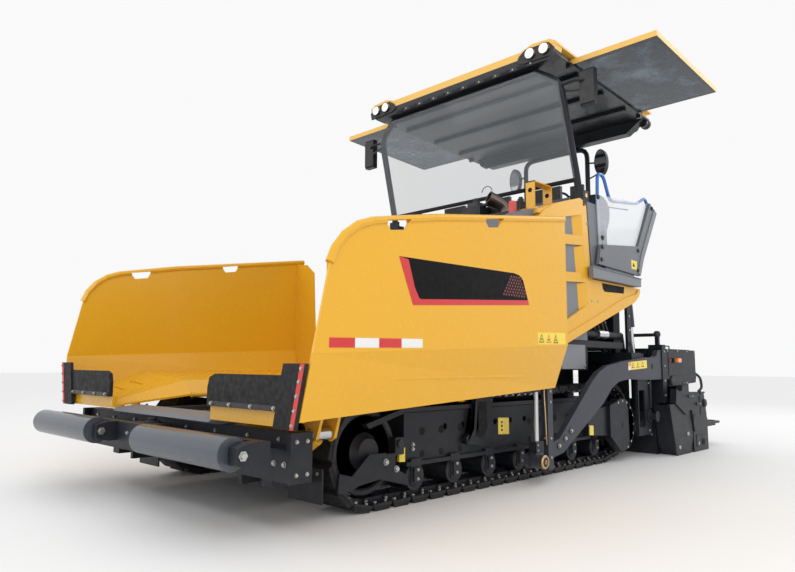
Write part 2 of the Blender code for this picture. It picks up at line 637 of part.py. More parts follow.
def make_wings():
    t = WING_SKIN
    outer = HOPPER_HALF_WIDTH
    front, rear = HOPPER_FRONT_Y, HOPPER_REAR_Y
    front_edge = front - 0.003
    for word, side in SIDES:
        upper = [(front_edge, BEND_FRONT_Z)] + rim_line() + [(rear, 2.0), (rear, BEND_REAR_Z)]
        solids = [prism(upper, "X", outer - t, outer)]
        lower = [[(SILL_FRONT_X, front - 0.015, SILL_FRONT_Z), (SILL_REAR_X, rear, SILL_REAR_Z)],
                 [(outer, front_edge, BEND_FRONT_Z + 0.003), (outer, rear, BEND_REAR_Z + 0.003)]]
        solids.append(plate(lower, (-t, 0, 0)))
        floor = []
        ramp_low = (HINGE_X - 0.02, front + 0.01, RAMP_FRONT_Z)
        ramp_high = (HINGE_X, RAMP_REAR_Y, HINGE_Z + t / 2)
        floor_end = (HINGE_X, WING_BACK_Y + 0.005, HINGE_Z + t / 2)
        for inner, knee, out in ((ramp_low, RAMP_FRONT_Z + 0.006, RAMP_FRONT_Z + 0.025),
                                 (ramp_high, FLOOR_KNEE_Z, FLOOR_OUTER_Z),
                                 (floor_end, FLOOR_KNEE_Z, FLOOR_OUTER_Z)):
            y = inner[1]
            floor.append([inner, (FLOOR_KNEE_X, y, knee), (skin_x(y, out) - t / 2, y, out)])
        solids.append(plate(floor, (0, 0, -t)))
        solids.append(rod((HINGE_X, RAMP_REAR_Y, HINGE_Z), (HINGE_X, WING_BACK_Y, HINGE_Z), HINGE_RADIUS, 12))
        solids.append(box(HINGE_X - 0.02, SILL_FRONT_X - 0.10, front, front + 0.035,
                          WING_BAR_LOW, WING_BAR_HIGH))
        back = [(HINGE_X, HINGE_Z - 0.01), (FLOOR_KNEE_X, FLOOR_KNEE_Z - 0.01),
                (1.50, FLOOR_OUTER_Z - 0.01), (outer - 0.005, BEND_REAR_Z), (outer - 0.005, 1.985),
                (outer - 0.20, 1.955), (outer - 0.32, 1.86), (outer - 0.36, 1.25),
                (HINGE_X + 0.20, 1.0), (HINGE_X, 0.85)]
        solids.append(prism(back, "Y", WING_BACK_Y, WING_BACK_Y + 0.010))
        rim = [(outer - t / 2, y, z) for y, z in rim_line()]
        rim[-1] = (rim[-1][0], HOPPER_REAR_Y - RIM_RADIUS * 0.3, rim[-1][2] + 0.002)
        solids.append(tube(rim, RIM_RADIUS, 8))
        for y in (WING_LUG_Y - 0.075, WING_LUG_Y + 0.055):
            share = (y - HOPPER_FRONT_Y) / (RAMP_REAR_Y - HOPPER_FRONT_Y)
            top = RAMP_FRONT_Z + (FLOOR_OUTER_Z - 0.02 - RAMP_FRONT_Z) * share
            ear = [(WING_LUG_X - 0.10, top - 0.008), (WING_LUG_X - 0.04, 0.49), (WING_LUG_X, 0.468),
                   (WING_LUG_X + 0.04, 0.49), (WING_LUG_X + 0.12, top + 0.012)]
            solids.append(prism(ear, "Y", y, y + 0.02))
        cuts = []
        for y, z in ((front + 0.590, 1.672), (front + 1.504, 1.825)):
            notch = [(y - 0.10, z + 0.028), (y + 0.10, z + 0.062), (y + 0.065, z - 0.002),
                     (y - 0.055, z - 0.022)]
            cuts.append(prism(notch, "X", outer - 0.1, outer + 0.1))
        node(f"{word}_hopper_wing", "yellow_paint", solids, cuts, side, (HINGE_X, 0, HINGE_Z))


def make_wing_flaps():
    back = HOPPER_FRONT_Y - SEAT_GAP
    face = back - FLAP_THICKNESS
    plate_outline = [(0.68, FLAP_LOW), (1.45, FLAP_LOW), (1.45, FLAP_HIGH), (0.76, FLAP_HIGH),
                     (0.70, FLAP_HIGH - 0.02), (0.68, FLAP_HIGH - 0.08)]
    edge = [(1.35, 0.575), (1.53, 0.575), (1.61, 0.905), (1.43, 0.905), (1.41, 0.83)]
    for word, side in SIDES:
        solids = [prism(plate_outline, "Y", face, back)]
        solids.append(prism(edge, "Y", face - 0.012, back - 0.015))
        node(f"{word}_wing_flap", "rubber", solids, (), side, (HINGE_X, 0, HINGE_Z))


def make_wing_cylinders():
    y = WING_LUG_Y
    start = Vector((WING_CYLINDER_X, y, WING_CYLINDER_Z))
    end = Vector((WING_LUG_X, y, WING_LUG_Z))
    along = (end - start).normalized()
    length = (end - start).length
    half = Vector((0, WING_LUG_HALF, 0))
    for word, side in SIDES:
        barrel_end = start + along * (length - 0.055)
        solids = [rod(start + along * 0.03, barrel_end, 0.042, 16)]
        solids.append(rod(start - half, start + half, 0.04, 16))
        bore = rod(start + along * 0.11, barrel_end + along * 0.05, CYLINDER_BORE_RADIUS, 14)
        node(f"{word}_wing_cylinder", "yellow_paint", solids, [bore], side, start)
        solids = [rod(start + along * 0.125, end - along * 0.02, CYLINDER_ROD_RADIUS, 14)]
        solids.append(rod(end - half, end + half, 0.036, 16))
        node(f"{word}_wing_rod", "bright_steel", solids, (), side, end)


# ---------------------------------------------------------------- body
def make_hood():
    front, rear = HOPPER_REAR_Y + 0.024 + SEAT_GAP, PLATFORM_FRONT_Y - 0.01
    w = BODY_HALF_WIDTH - PANEL_THICKNESS - SEAT_GAP
    low = DECK_Z + 0.03 + SEAT_GAP
    lean = 0.065
    t = 0.03
    outline = [(front, low), (rear, low), (rear, 1.70), (rear - lean, 2.38), (HOOD_HIGH_Y, HOOD_HIGH_Z),
               (HOOD_FOLD_Y, HOOD_FOLD_Z), (front, 2.06)]
    inside = [(front + t, low - 0.1), (rear - t, low - 0.1), (rear - t, 1.69), (rear - lean - t, 2.34),
              (HOOD_HIGH_Y, HOOD_HIGH_Z - t), (HOOD_FOLD_Y + 0.01, HOOD_FOLD_Z - t), (front + t, 2.04)]
    shell = prism(outline, "X", -w, w)
    cavity = prism(inside, "X", -w + t, w - t)
    node("engine_hood", "grey_paint", [shell], [cavity])


def window(points):
    return prism(points, "X", BODY_HALF_WIDTH - 0.1, BODY_HALF_WIDTH + 0.1)


def make_side_panels():
    front = HOPPER_REAR_Y + 0.024 + SEAT_GAP
    outline = [(front, 0.885), (0.046, 1.093), (0.572, 1.272), (1.358, 1.53), (1.47, 1.60), (1.509, 1.684),
               (0.503, 1.690), (0.474, 1.80), (0.43, 2.36), (0.385, 2.405), (0.322, 2.42), (-0.098, 2.298),
               (-0.30, 2.20), (-0.42, 2.10), (front, 2.06)]
    windows = (
        [(-0.02, 2.04), (0.35, 2.075), (0.335, 2.27), (0.02, 2.195)],
        [(-0.02, 1.71), (0.385, 1.735), (0.36, 1.985), (-0.02, 1.955)],
        [(-0.02, 1.27), (0.20, 1.36), (0.405, 1.45), (0.395, 1.65), (-0.02, 1.625)],
    )
    for word, side in SIDES:
        solids = [prism(outline, "X", BODY_HALF_WIDTH - PANEL_THICKNESS, BODY_HALF_WIDTH)]
        cuts = [window(points) for points in windows]
        node(f"{word}_side_panel", "yellow_paint", solids, cuts, side)


def make_exhaust():
    x, y = 0.70, -0.06
    radius = 0.055
    bend, tip = Vector((x, y, 2.37)), Vector((0.62, -0.21, 2.44))
    path = rounded([(x, y, 2.20), bend, tip], 0.12, 4)
    climb = (HOOD_HIGH_Z - HOOD_FOLD_Z) / (HOOD_HIGH_Y - HOOD_FOLD_Y)
    hood_z = HOOD_FOLD_Z + (y + radius - HOOD_FOLD_Y) * climb
    base = box(x - 0.2, x + 0.2, y - 0.2, y + 0.2, 1.9, hood_z + SEAT_GAP)
    outward = (tip - bend).normalized()
    mouth = rod(tip - outward * 0.10, tip + outward * 0.20, radius - 0.008, 16)
    node("exhaust_pipe", "bright_steel", [tube(path, radius, 16)], [base, mouth])


def make_platform():
    w = BODY_HALF_WIDTH + 0.012
    top = PLATFORM_Z
    front, rear = PLATFORM_FRONT_Y, PLATFORM_REAR_Y
    low = top - PLATFORM_THICKNESS
    solids = [box(-w, w, front + 0.05, rear, low, top)]
    solids.append(box(-0.62, 0.62, rear - 0.05, HOOP_Y + 0.06, low, top))
    for side in (-1, 1):
        solids.append(box(*sorted((side * 1.157, side * w)), rear - 0.1, SIDE_BEAM_REAR_Y, low, top))
    wall = [(front, low), (front + 0.19, low), (front + 0.19, 2.34), (front + 0.15, COWL_TOP_Z),
            (front - 0.065, COWL_TOP_Z)]
    solids.append(prism(wall, "X", -BODY_HALF_WIDTH, BODY_HALF_WIDTH))
    node("operator_platform", "grey_paint", solids)


def make_console():
    top = PLATFORM_Z + SEAT_GAP
    front = PLATFORM_FRONT_Y + 0.19 + SEAT_GAP
    desk = [(front, top), (front + 0.16, top), (front + 0.16, 2.30), (front + 0.30, 2.42),
            (front + 0.26, 2.50), (front + 0.02, 2.56), (front, 2.52)]
    solids = [prism(desk, "X", -0.92, 0.92)]
    node("operator_console", "grey_paint", solids)


def make_seats():
    floor = PLATFORM_Z + SEAT_GAP
    for word, side in SIDES:
        x = 0.78
        solids = [box(x - 0.16, x + 0.16, 1.0, 1.28, floor, floor + 0.32)]
        solids.append(box(x - 0.25, x + 0.25, 0.90, 1.34, floor + 0.30, floor + 0.45))
        back = [(1.26, floor + 0.38), (1.36, floor + 0.38), (1.44, floor + 0.98), (1.36, floor + 1.0)]
        solids.append(prism(back, "X", x - 0.24, x + 0.24))
        node(f"{word}_seat", "seat_cover", solids, (), side)


GUARD_OUTLINE = [(0.549, 1.832), (1.409, 1.805), (1.507, 2.0), (1.861, 2.522), (1.718, 2.611),
                 (1.388, 2.105), (0.60, 2.021)]


def make_guards():
    foot = PLATFORM_Z + SEAT_GAP
    for word, side in SIDES:
        solids = [prism(GUARD_OUTLINE, "X", GUARD_X, GUARD_X + GUARD_THICKNESS)]
        solids.append(box(GUARD_X - 0.035, GUARD_X + 0.01, 0.72, 1.32, foot, foot + 0.12))
        node(f"{word}_side_guard", "grey_paint", solids, (), side)
        glass = [(0.60, 2.499), (1.735, 2.612), (1.78, 2.56), (1.44, 2.03), (1.40, 2.0), (0.628, 1.95)]
        inner = GUARD_X - SEAT_GAP - GLASS_THICKNESS
        pane = prism(glass, "X", inner, inner + GLASS_THICKNESS)
        node(f"{word}_guard_glass", "glass", [pane], (), side)


def make_handrails():
    x = GUARD_X - 0.065
    foot = PLATFORM_Z + SEAT_GAP
    loop = [(x, 0.735, foot), (x, 0.735, 2.48), (x, 0.75, 2.753), (x, 0.87, 2.753), (x, 0.99, 2.52),
            (x, 1.60, 2.60), (x, 1.80, 2.70), (x, 1.87, 2.62), (x, 1.50, 2.00), (x, 1.29, 1.90),
            (x, 1.29, foot)]
    for word, side in SIDES:
        node(f"{word}_handrail", "blue_paint", [tube(rounded(loop, 0.07, 3), 0.017, 8)], (), side)


# ---------------------------------------------------------------- canopy
def roof_z(y, drop=0.0):
    return ROOF_TOP_Z - ROOF_SLOPE * (y - ROOF_FRONT_Y) - drop


def roof_slab(outline, front, rear):
    """An (X, drop) outline run from front to rear down the roof's slope."""
    rings = [[(x, y, roof_z(y, drop)) for x, drop in outline] for y in (front, rear)]
    return hull_faces(rings)


def make_canopy():
    w = ROOF_HALF_WIDTH
    slot_top = ROOF_SKIN + 0.03
    slot_low = slot_top + RUNNING_GAP + EXTENSION_THICKNESS + SEAT_GAP
    skin = [(-w, 0.055), (-w, 0.035), (-w + 0.06, 0.0), (-0.96, -0.012), (-0.84, 0.03), (0.84, 0.03),
            (0.96, -0.012), (w - 0.06, 0.0), (w, 0.035), (w, 0.055), (0.9, slot_top), (-0.9, slot_top)]
    solids = [roof_slab(skin, ROOF_FRONT_Y, ROOF_REAR_Y)]
    liner = [(-w + 0.02, slot_low), (w - 0.02, slot_low), (w - 0.02, slot_low + 0.018),
             (-w + 0.02, slot_low + 0.018)]
    solids.append(roof_slab(liner, ROOF_FRONT_Y + 0.05, ROOF_REAR_Y - 0.02))
    spine = [(-0.38, 0.04), (0.38, 0.04), (0.38, slot_low + 0.01), (-0.38, slot_low + 0.01)]
    solids.append(roof_slab(spine, ROOF_FRONT_Y + 0.05, ROOF_REAR_Y - 0.05))
    header = [(-w + 0.002, 0.03), (w - 0.002, 0.03), (w - 0.02, 0.13), (w - 0.10, HEADER_DROP),
              (-w + 0.10, HEADER_DROP), (-w + 0.02, 0.13)]
    solids.append(roof_slab(header, ROOF_FRONT_Y - 0.002, ROOF_FRONT_Y + HEADER_DEPTH))
    rear = [(-w + 0.05, 0.03), (w - 0.05, 0.03), (w - 0.05, 0.12), (w - 0.25, REAR_DROP),
            (-w + 0.25, REAR_DROP), (-w + 0.05, 0.12)]
    solids.append(roof_slab(rear, ROOF_REAR_Y - 0.12, ROOF_REAR_Y - 0.01))
    for side in (-1, 1):
        for x in (0.955, 1.105):
            z = roof_z(ROOF_FRONT_Y, 0.085)
            solids.append(rod((side * x, ROOF_FRONT_Y - 0.025, z), (side * x, ROOF_FRONT_Y + 0.02, z),
                              0.055, 16))
        for x in (0.98, 1.12):
            z = roof_z(ROOF_REAR_Y, 0.14)
            solids.append(rod((side * x, ROOF_REAR_Y - 0.03, z), (side * x, ROOF_REAR_Y + 0.07, z), 0.05, 14))
    node("canopy_roof", "dark_paint", solids)


def make_extensions():
    top = ROOF_SKIN + 0.03 + RUNNING_GAP
    low = top + EXTENSION_THICKNESS
    inner = ROOF_HALF_WIDTH - 0.06
    panel = [(inner, top), (EXTENSION_OUTER_X, top), (EXTENSION_OUTER_X, low), (inner, low)]
    for word, side in SIDES:
        solids = [roof_slab(panel, EXTENSION_FRONT_Y, EXTENSION_REAR_Y)]
        node(f"{word}_canopy_extension", "yellow_paint", solids, (), side)


def make_windscreen():
    slope = (SCREEN_KNEE_Y - SCREEN_LOW_Y) / (SCREEN_KNEE_Z - SCREEN_LOW_Z)
    top_z = roof_z(ROOF_FRONT_Y + HEADER_DEPTH, HEADER_DROP) - SEAT_GAP - PILLAR_RADIUS
    top_y = SCREEN_LOW_Y + (top_z - SCREEN_LOW_Z) * slope
    knee_x = PILLAR_X - 0.02
    line = [(PILLAR_X, PILLAR_FOOT_Y, PILLAR_FOOT_Z - 0.07), (PILLAR_X, SCREEN_LOW_Y, SCREEN_LOW_Z),
            (knee_x, SCREEN_KNEE_Y, SCREEN_KNEE_Z), (0.95, top_y, top_z)]
    other = [(-x, y, z) for x, y, z in line]
    frame = rounded(line, 0.10, 3) + rounded(other, 0.10, 3)[::-1]
    solids = [tube(frame, PILLAR_RADIUS, 10)]
    sill = [(-PILLAR_X, SCREEN_LOW_Y, SCREEN_LOW_Z), (PILLAR_X, SCREEN_LOW_Y, SCREEN_LOW_Z)]
    solids.append(tube(sill, 0.022, 8))
    for side in (-1, 1):
        foot = sorted((side * (PILLAR_X - 0.04), side * (PILLAR_X + 0.045)))
        solids.append(box(*foot, PILLAR_FOOT_Y - 0.03, PILLAR_FOOT_Y + 0.09, COWL_TOP_Z + SEAT_GAP, 2.52))
        arm = [(side * 1.16, 0.155, 3.46), (side * 1.33, 0.14, 3.46), (side * 1.42, 0.20, 3.46)]
        solids.append(tube(arm, 0.012, 8))
        mirror = sorted((side * 1.35, side * 1.49))
        solids.append(box(*mirror, 0.19, 0.25, 3.22, 3.56))
    node("windscreen_frame", "dark_paint", solids)
    glass_low, glass_knee = SCREEN_LOW_Z + 0.01, SCREEN_KNEE_Z - 0.01
    face = [(-PILLAR_X, glass_low), (PILLAR_X, glass_low), (knee_x, glass_knee), (0.945, top_z),
            (-0.945, top_z), (-knee_x, glass_knee)]
    reach = PILLAR_RADIUS * math.hypot(1, slope) + SEAT_GAP
    rings = []
    for offset in (-reach - GLASS_THICKNESS, -reach):
        rings.append([(x, SCREEN_LOW_Y + (z - SCREEN_LOW_Z) * slope + offset, z) for x, z in face])
    node("windscreen_glass", "glass", [hull_faces(rings)])


def make_rear_hoop():
    foot = PLATFORM_Z + SEAT_GAP
    radius = 0.028
    top = roof_z(HOOP_Y, REAR_DROP) - SEAT_GAP - radius
    line = [(-HOOP_HALF_WIDTH, HOOP_Y, foot), (-HOOP_HALF_WIDTH, HOOP_Y, top),
            (HOOP_HALF_WIDTH, HOOP_Y, top), (HOOP_HALF_WIDTH, HOOP_Y, foot)]
    solids = [tube(rounded(line, 0.12, 4), radius, 10)]
    for side in (-1, 1):
        centre = (side * 0.60, 3.28)
        arm = [(side * HOOP_HALF_WIDTH, HOOP_Y, 3.30), (centre[0], HOOP_Y + 0.03, centre[1])]
        solids.append(tube(arm, 0.010, 6))
        mirror = [(x, centre[1] + (z - centre[1]) * 2.0) for x, z in arc(centre, 0.078, 0, 345, 23)]
        solids.append(prism(mirror, "Y", HOOP_Y - 0.01, HOOP_Y + 0.05))
    node("rear_hoop", "dark_paint", solids)


# ---------------------------------------------------------------- tow gear
def make_tow_posts():
    x0, x1 = TOW_POST_X - TOW_POST_HALF, TOW_POST_X + TOW_POST_HALF
    x, top = TOW_ROD_X, TOW_POST_TOP
    for word, side in SIDES:
        solids = [box(x0, x1, TOW_POST_FRONT_Y, TOW_POST_REAR_Y, 0.11, top)]
        solids.append(box(FRAME_HALF_WIDTH + SEAT_GAP, x1, TOW_POST_FRONT_Y + 0.01, TOW_POST_REAR_Y,
                          0.765, 0.865))
        solids.append(rod((x, TOW_POINT_Y, 0.70), (x, TOW_POINT_Y, top), 0.034, 14))
        solids.append(box(x - 0.015, x + 0.02, TOW_POINT_Y, TOW_POST_FRONT_Y + 0.02, 0.86, top))
        bore = rod((x, TOW_POINT_Y, 0.60), (x, TOW_POINT_Y, top - 0.01), TOW_BORE_RADIUS, 12)
        node(f"{word}_tow_post", "light_grey_paint", solids, [bore], side)


def make_tow_points():
    x = TOW_ROD_X
    arm_outer = TOW_ARM_X + TOW_ARM_THICKNESS
    for word, side in SIDES:
        solids = [rod((x, TOW_POINT_Y, TOW_POINT_Z), (x, TOW_POINT_Y, 0.705), TOW_ROD_RADIUS, 12)]
        solids.append(rod((arm_outer + 0.004, TOW_POINT_Y, TOW_POINT_Z), (1.44, TOW_POINT_Y, TOW_POINT_Z),
                          TOW_ROLLER_RADIUS, 20))
        solids.append(box(x - 0.026, x + 0.03, TOW_POINT_Y - 0.05, TOW_POINT_Y + 0.05, TOW_POINT_Z, 0.33))
        solids.append(rod((TOW_ARM_X - 0.02, TOW_POINT_Y, TOW_POINT_Z), (x, TOW_POINT_Y, TOW_POINT_Z),
                          TOW_PIN_RADIUS, 14))
        node(f"{word}_tow_point", "light_grey_paint", solids, (), side, (x, TOW_POINT_Y, TOW_POINT_Z))


def make_tow_arms():
    tow = (TOW_POINT_Y, TOW_POINT_Z)
    rear = SCREED_POST_FRONT_Y - SEAT_GAP
    top = [(-0.265, 0.319), (0.050, 0.570), (0.28, 0.755), (0.42, 0.845), (0.58, 0.90), (0.905, 0.941),
           (1.339, 0.978), (1.60, 0.988), (1.645, 1.005), (1.68, 1.06), (rear, 1.065)]
    under = [(rear, 0.765), (1.322, 0.765), (0.997, 0.775), (0.80, 0.755), (0.66, 0.70), (0.489, 0.570),
             (-0.209, 0.203)]
    nose = arc(tow, 0.055, -95, -265, 8)
    outline = top + under + nose
    for word, side in SIDES:
        solids = [prism(outline, "X", TOW_ARM_X, TOW_ARM_X + TOW_ARM_THICKNESS)]
        bore = rod((TOW_ARM_X - 0.1, *tow), (TOW_ARM_X + TOW_ARM_THICKNESS + 0.1, *tow), TOW_EYE_RADIUS, 14)
        node(f"{word}_tow_arm", "light_grey_paint", solids, [bore], side, (TOW_ARM_X, *tow))


def make_lift_cylinders():
    start = Vector((LIFT_X, LIFT_TOP_Y, LIFT_TOP_Z))
    end = Vector((LIFT_X, LIFT_EYE_Y, LIFT_EYE_Z))
    along = (end - start).normalized()
    for word, side in SIDES:
        barrel_end = start + along * LIFT_BARREL_LENGTH
        solids = [rod(start + along * 0.03, barrel_end, 0.042, 16)]
        half = Vector((LIFT_BOSS / 2, 0, 0))
        solids.append(rod(start - half, start + half, 0.042, 16))
        bore = rod(start + along * 0.07, barrel_end + along * 0.05, CYLINDER_BORE_RADIUS, 14)
        node(f"{word}_lift_cylinder", "light_grey_paint", solids, [bore], side, start)
        solids = [rod(barrel_end - along * 0.30, end - along * 0.02, CYLINDER_ROD_RADIUS, 14)]
        solids.append(rod(end - Vector((0.04, 0, 0)), end + Vector((0.04, 0, 0)), 0.036, 16))
        node(f"{word}_lift_rod", "bright_steel", solids, (), side, end)


# ---------------------------------------------------------------- screed
def make_screed_frame():
    w = SCREED_HALF_WIDTH
    front, rear = SCREED_FRONT_Y, SCREED_SPLIT_Y - RUNNING_GAP
    body = [(front + 0.03, 0.0), (rear, 0.0), (rear, 0.30), (rear - 0.08, SCREED_TOP_Z),
            (front, SCREED_TOP_Z), (front, 0.05)]
    solids = [prism(body, "X", -w, w)]
    solids.append(box(-w, w, front, front + 0.02, 0.04, 0.56))
    for side in (-1, 1):
        foot = sorted((side * 1.20, side * w))
        solids.append(box(*foot, SCREED_POST_FRONT_Y, SCREED_POST_REAR_Y, 0.42, 1.12))
        post = sorted((side * 1.21, side * 1.345))
        solids.append(box(*post, SCREED_POST_FRONT_Y, SCREED_POST_REAR_Y, 0.525, 1.12))
        ear_out = sorted((side * (LIFT_X + 0.047), side * (LIFT_X + 0.067)))
        ear_in = sorted((side * (LIFT_X - 0.067), side * (LIFT_X - 0.047)))
        for ear in (ear_out, ear_in):
            outline = [(1.80, 0.90), (1.62, 0.93), (1.60, 0.97), (1.62, 1.01), (1.80, 1.04)]
            solids.append(prism(outline, "X", *ear))
    solids.append(box(-1.27, 1.27, 1.79, SCREED_POST_REAR_Y, 0.86, 1.06))
    solids.append(box(-w, w, rear - 0.02, SCREED_SPLIT_Y - SEAT_GAP, 0.22, 0.26))
    node("screed_frame", "dark_paint", solids, (), 1, (0, TOW_POINT_Y, TOW_POINT_Z))


def make_screed_extensions():
    front, rear = SCREED_SPLIT_Y, SCREED_REAR_Y
    inner = 0.012
    end = SCREED_HALF_WIDTH + 0.012
    x0, x1 = END_PLATE_X, END_PLATE_X + END_PLATE_THICKNESS
    body = [(front, 0.0), (rear, 0.0), (rear, 0.34), (front + 0.05, SCREED_TOP_Z), (front, SCREED_TOP_Z)]
    side_box = [(1.70, 0.50), (1.78, 0.10), (1.85, 0.0), (front + 0.02, 0.0), (front + 0.02, SCREED_TOP_Z),
                (2.20, 0.50)]
    low_plate = [(1.667, 0.515), (1.80, 0.02), (1.825, 0.0), (2.16, 0.0), (2.25, 0.18), (2.25, 0.52)]
    high_plate = [(1.82, 0.668), (1.79, 0.522), (2.04, 0.40), (2.10, 0.40), (2.13, 0.44), (2.20, 0.44),
                  (2.264, 0.21), (2.60, 0.20), (2.615, 0.37), (2.56, 0.60), (2.495, 0.622), (2.15, 0.63),
                  (2.10, 0.70), (1.98, 0.70), (1.95, 0.645), (1.88, 0.645)]
    foot_plate = [(2.25, 0.0), (2.65, 0.0), (2.63, 0.22), (2.25, 0.22)]
    for word, side in SIDES:
        solids = [prism(body, "X", inner, END_PLATE_X + 0.01)]
        solids.append(prism(side_box, "X", end, END_PLATE_X + 0.01))
        solids.append(prism(low_plate, "X", x0, x1))
        solids.append(prism(high_plate, "X", x0 - 0.03, x1 + 0.015))
        solids.append(prism(foot_plate, "X", x0, x1 + 0.005))
        solids.append(box(0.62, 1.34, SCREED_POST_REAR_Y + RUNNING_GAP, 2.664, 0.76, 1.075))
        solids.append(box(0.70, 1.28, 2.40, 2.60, 0.40, 0.78))
        solids.append(box(inner, STEP_OUTER_X, rear - 0.02, STEP_REAR_Y, 0.235, 0.262))
        node(f"{word}_screed_extension", "dark_paint", solids, (), side, (0, front, 0))


# ---------------------------------------------------------------- augers
def make_augers():
    flight_turns = 3.0
    steps = 36
    shaft = 0.04
    for word, side in SIDES:
        solids = [rod((AUGER_INNER_X, AUGER_Y, AUGER_Z), (AUGER_OUTER_X, AUGER_Y, AUGER_Z), shaft, 14)]
        solids.append(helix_flight(AUGER_INNER_X + 0.02, AUGER_OUTER_X - 0.03, flight_turns, steps,
                                   shaft - 0.008))
        node(f"{word}_auger", "track_steel", solids, (), side, (AUGER_INNER_X, AUGER_Y, AUGER_Z))


def helix_flight(x0, x1, turns, steps, inner):
    """A screw blade round the auger's shaft."""
    t = 0.012
    rings = []
    for i in range(steps + 1):
        share = i / steps
        angle = 2 * math.pi * turns * share
        x = x0 + (x1 - t - x0) * share
        ring = []
        for radius, dx in ((inner, 0), (AUGER_RADIUS, 0), (AUGER_RADIUS, t), (inner, t)):
            ring.append((x + dx, AUGER_Y + radius * math.cos(angle), AUGER_Z + radius * math.sin(angle)))
        rings.append(ring)
    return hull_faces(rings)


def main():
    clear_scene()
    make_tracks()
    make_track_frames()
    make_final_drives()
    make_main_frame()
    make_engine()
    make_front_beam()
    make_apron()
    make_push_bar()
    make_push_rollers()
    make_conveyor()
    make_rear_wall()
    make_wings()
    make_wing_flaps()
    make_wing_cylinders()
    make_hood()
    make_side_panels()
    make_exhaust()
    make_platform()
    make_console()
    make_seats()
    make_guards()
    make_handrails()
    make_canopy()
    make_extensions()
    make_windscreen()
    make_rear_hoop()
    make_tow_posts()
    make_tow_points()
    make_tow_arms()
    make_lift_cylinders()
    make_screed_frame()
    make_screed_extensions()
    make_augers()


main()
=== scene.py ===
"""Looks of the asphalt paver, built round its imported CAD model. Metres, +Z up, the hopper faces -Y."""

import math

import bmesh
import bpy
from mathutils import Matrix, Vector


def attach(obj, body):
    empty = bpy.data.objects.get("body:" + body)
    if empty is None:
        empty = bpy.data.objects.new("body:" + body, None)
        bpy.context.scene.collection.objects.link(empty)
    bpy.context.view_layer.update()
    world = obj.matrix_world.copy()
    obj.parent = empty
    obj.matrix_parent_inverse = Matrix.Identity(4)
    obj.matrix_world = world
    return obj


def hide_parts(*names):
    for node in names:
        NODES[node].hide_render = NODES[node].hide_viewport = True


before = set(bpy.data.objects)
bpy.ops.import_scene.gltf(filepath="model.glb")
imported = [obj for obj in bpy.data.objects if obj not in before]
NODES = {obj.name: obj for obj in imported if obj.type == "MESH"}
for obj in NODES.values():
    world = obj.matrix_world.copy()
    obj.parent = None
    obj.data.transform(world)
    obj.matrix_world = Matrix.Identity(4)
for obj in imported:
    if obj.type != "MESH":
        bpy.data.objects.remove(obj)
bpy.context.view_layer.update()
SIDES = (("left", 1), ("right", -1))

OUTWARD = (1, 0, 0)
FORWARD = (0, -1, 0)
UPWARD = (0, 0, 1)

# Places that the looks share with the CAD model, for the left side where x is positive.
WING_SKIN_X = 1.622
BODY_SKIN_X = 1.25
GUARD_FACE_X = 1.3
GUARD_GLASS_X = 1.27
TRACK_FRAME_FACE_X = 1.103
TRACK_MIDDLE_X = 0.998
TRACK_HALF_WIDTH = 0.16
TOW_ARM_FACE_X = 1.335
TOW_ROD_X = 1.37
TOW_POST_FACE_X = 1.415
TOW_ROLLER_FACE_X = 1.44
TOW_POINT_Y = -0.663
TOW_POINT_Z = 0.181
FLAP_FRONT_Y = -3.0683
ROLLER_CENTRE = (-3.269, 0.461)
REAR_WALL_Y = -0.592
FINAL_DRIVE = (1.014, 0.34)
FINAL_DRIVE_FACE_X = 1.25
COVER_BOLTS = 9
BOTTOM_ROLLERS = 7
FIRST_ROLLER_Y = -1.75
LAST_ROLLER_Y = 0.7
PLATFORM_TOP = 1.7853
SEAT_X = 0.78
AUGER_AXIS = (1.56, 0.4)
HANGER_FACE_X = 1.276
SCREED_BOX_FACE_X = 1.34
END_PLATE_FACE_X = 1.455
ROOF_FRONT_Y = 0.014
ROOF_REAR_Y = 2.055
ROOF_TOP_Z = 3.872
ROOF_SLOPE = 0.051
MIRROR_X = 0.6
MIRROR_Z = 3.28

# The camera: its place, its yaw, pitch and roll in radians, and its sensor and lens in millimetres.
CAMERA_PLACE = (4.2072, -5.092, 0.9032)
CAMERA_TURNS = (0.7727, 0.1171, 0.0054)
CAMERA_SENSOR = 36.0
CAMERA_LENS = 30.15
FLOOR_HALF = 60.0
FLOOR_GAP = 0.001


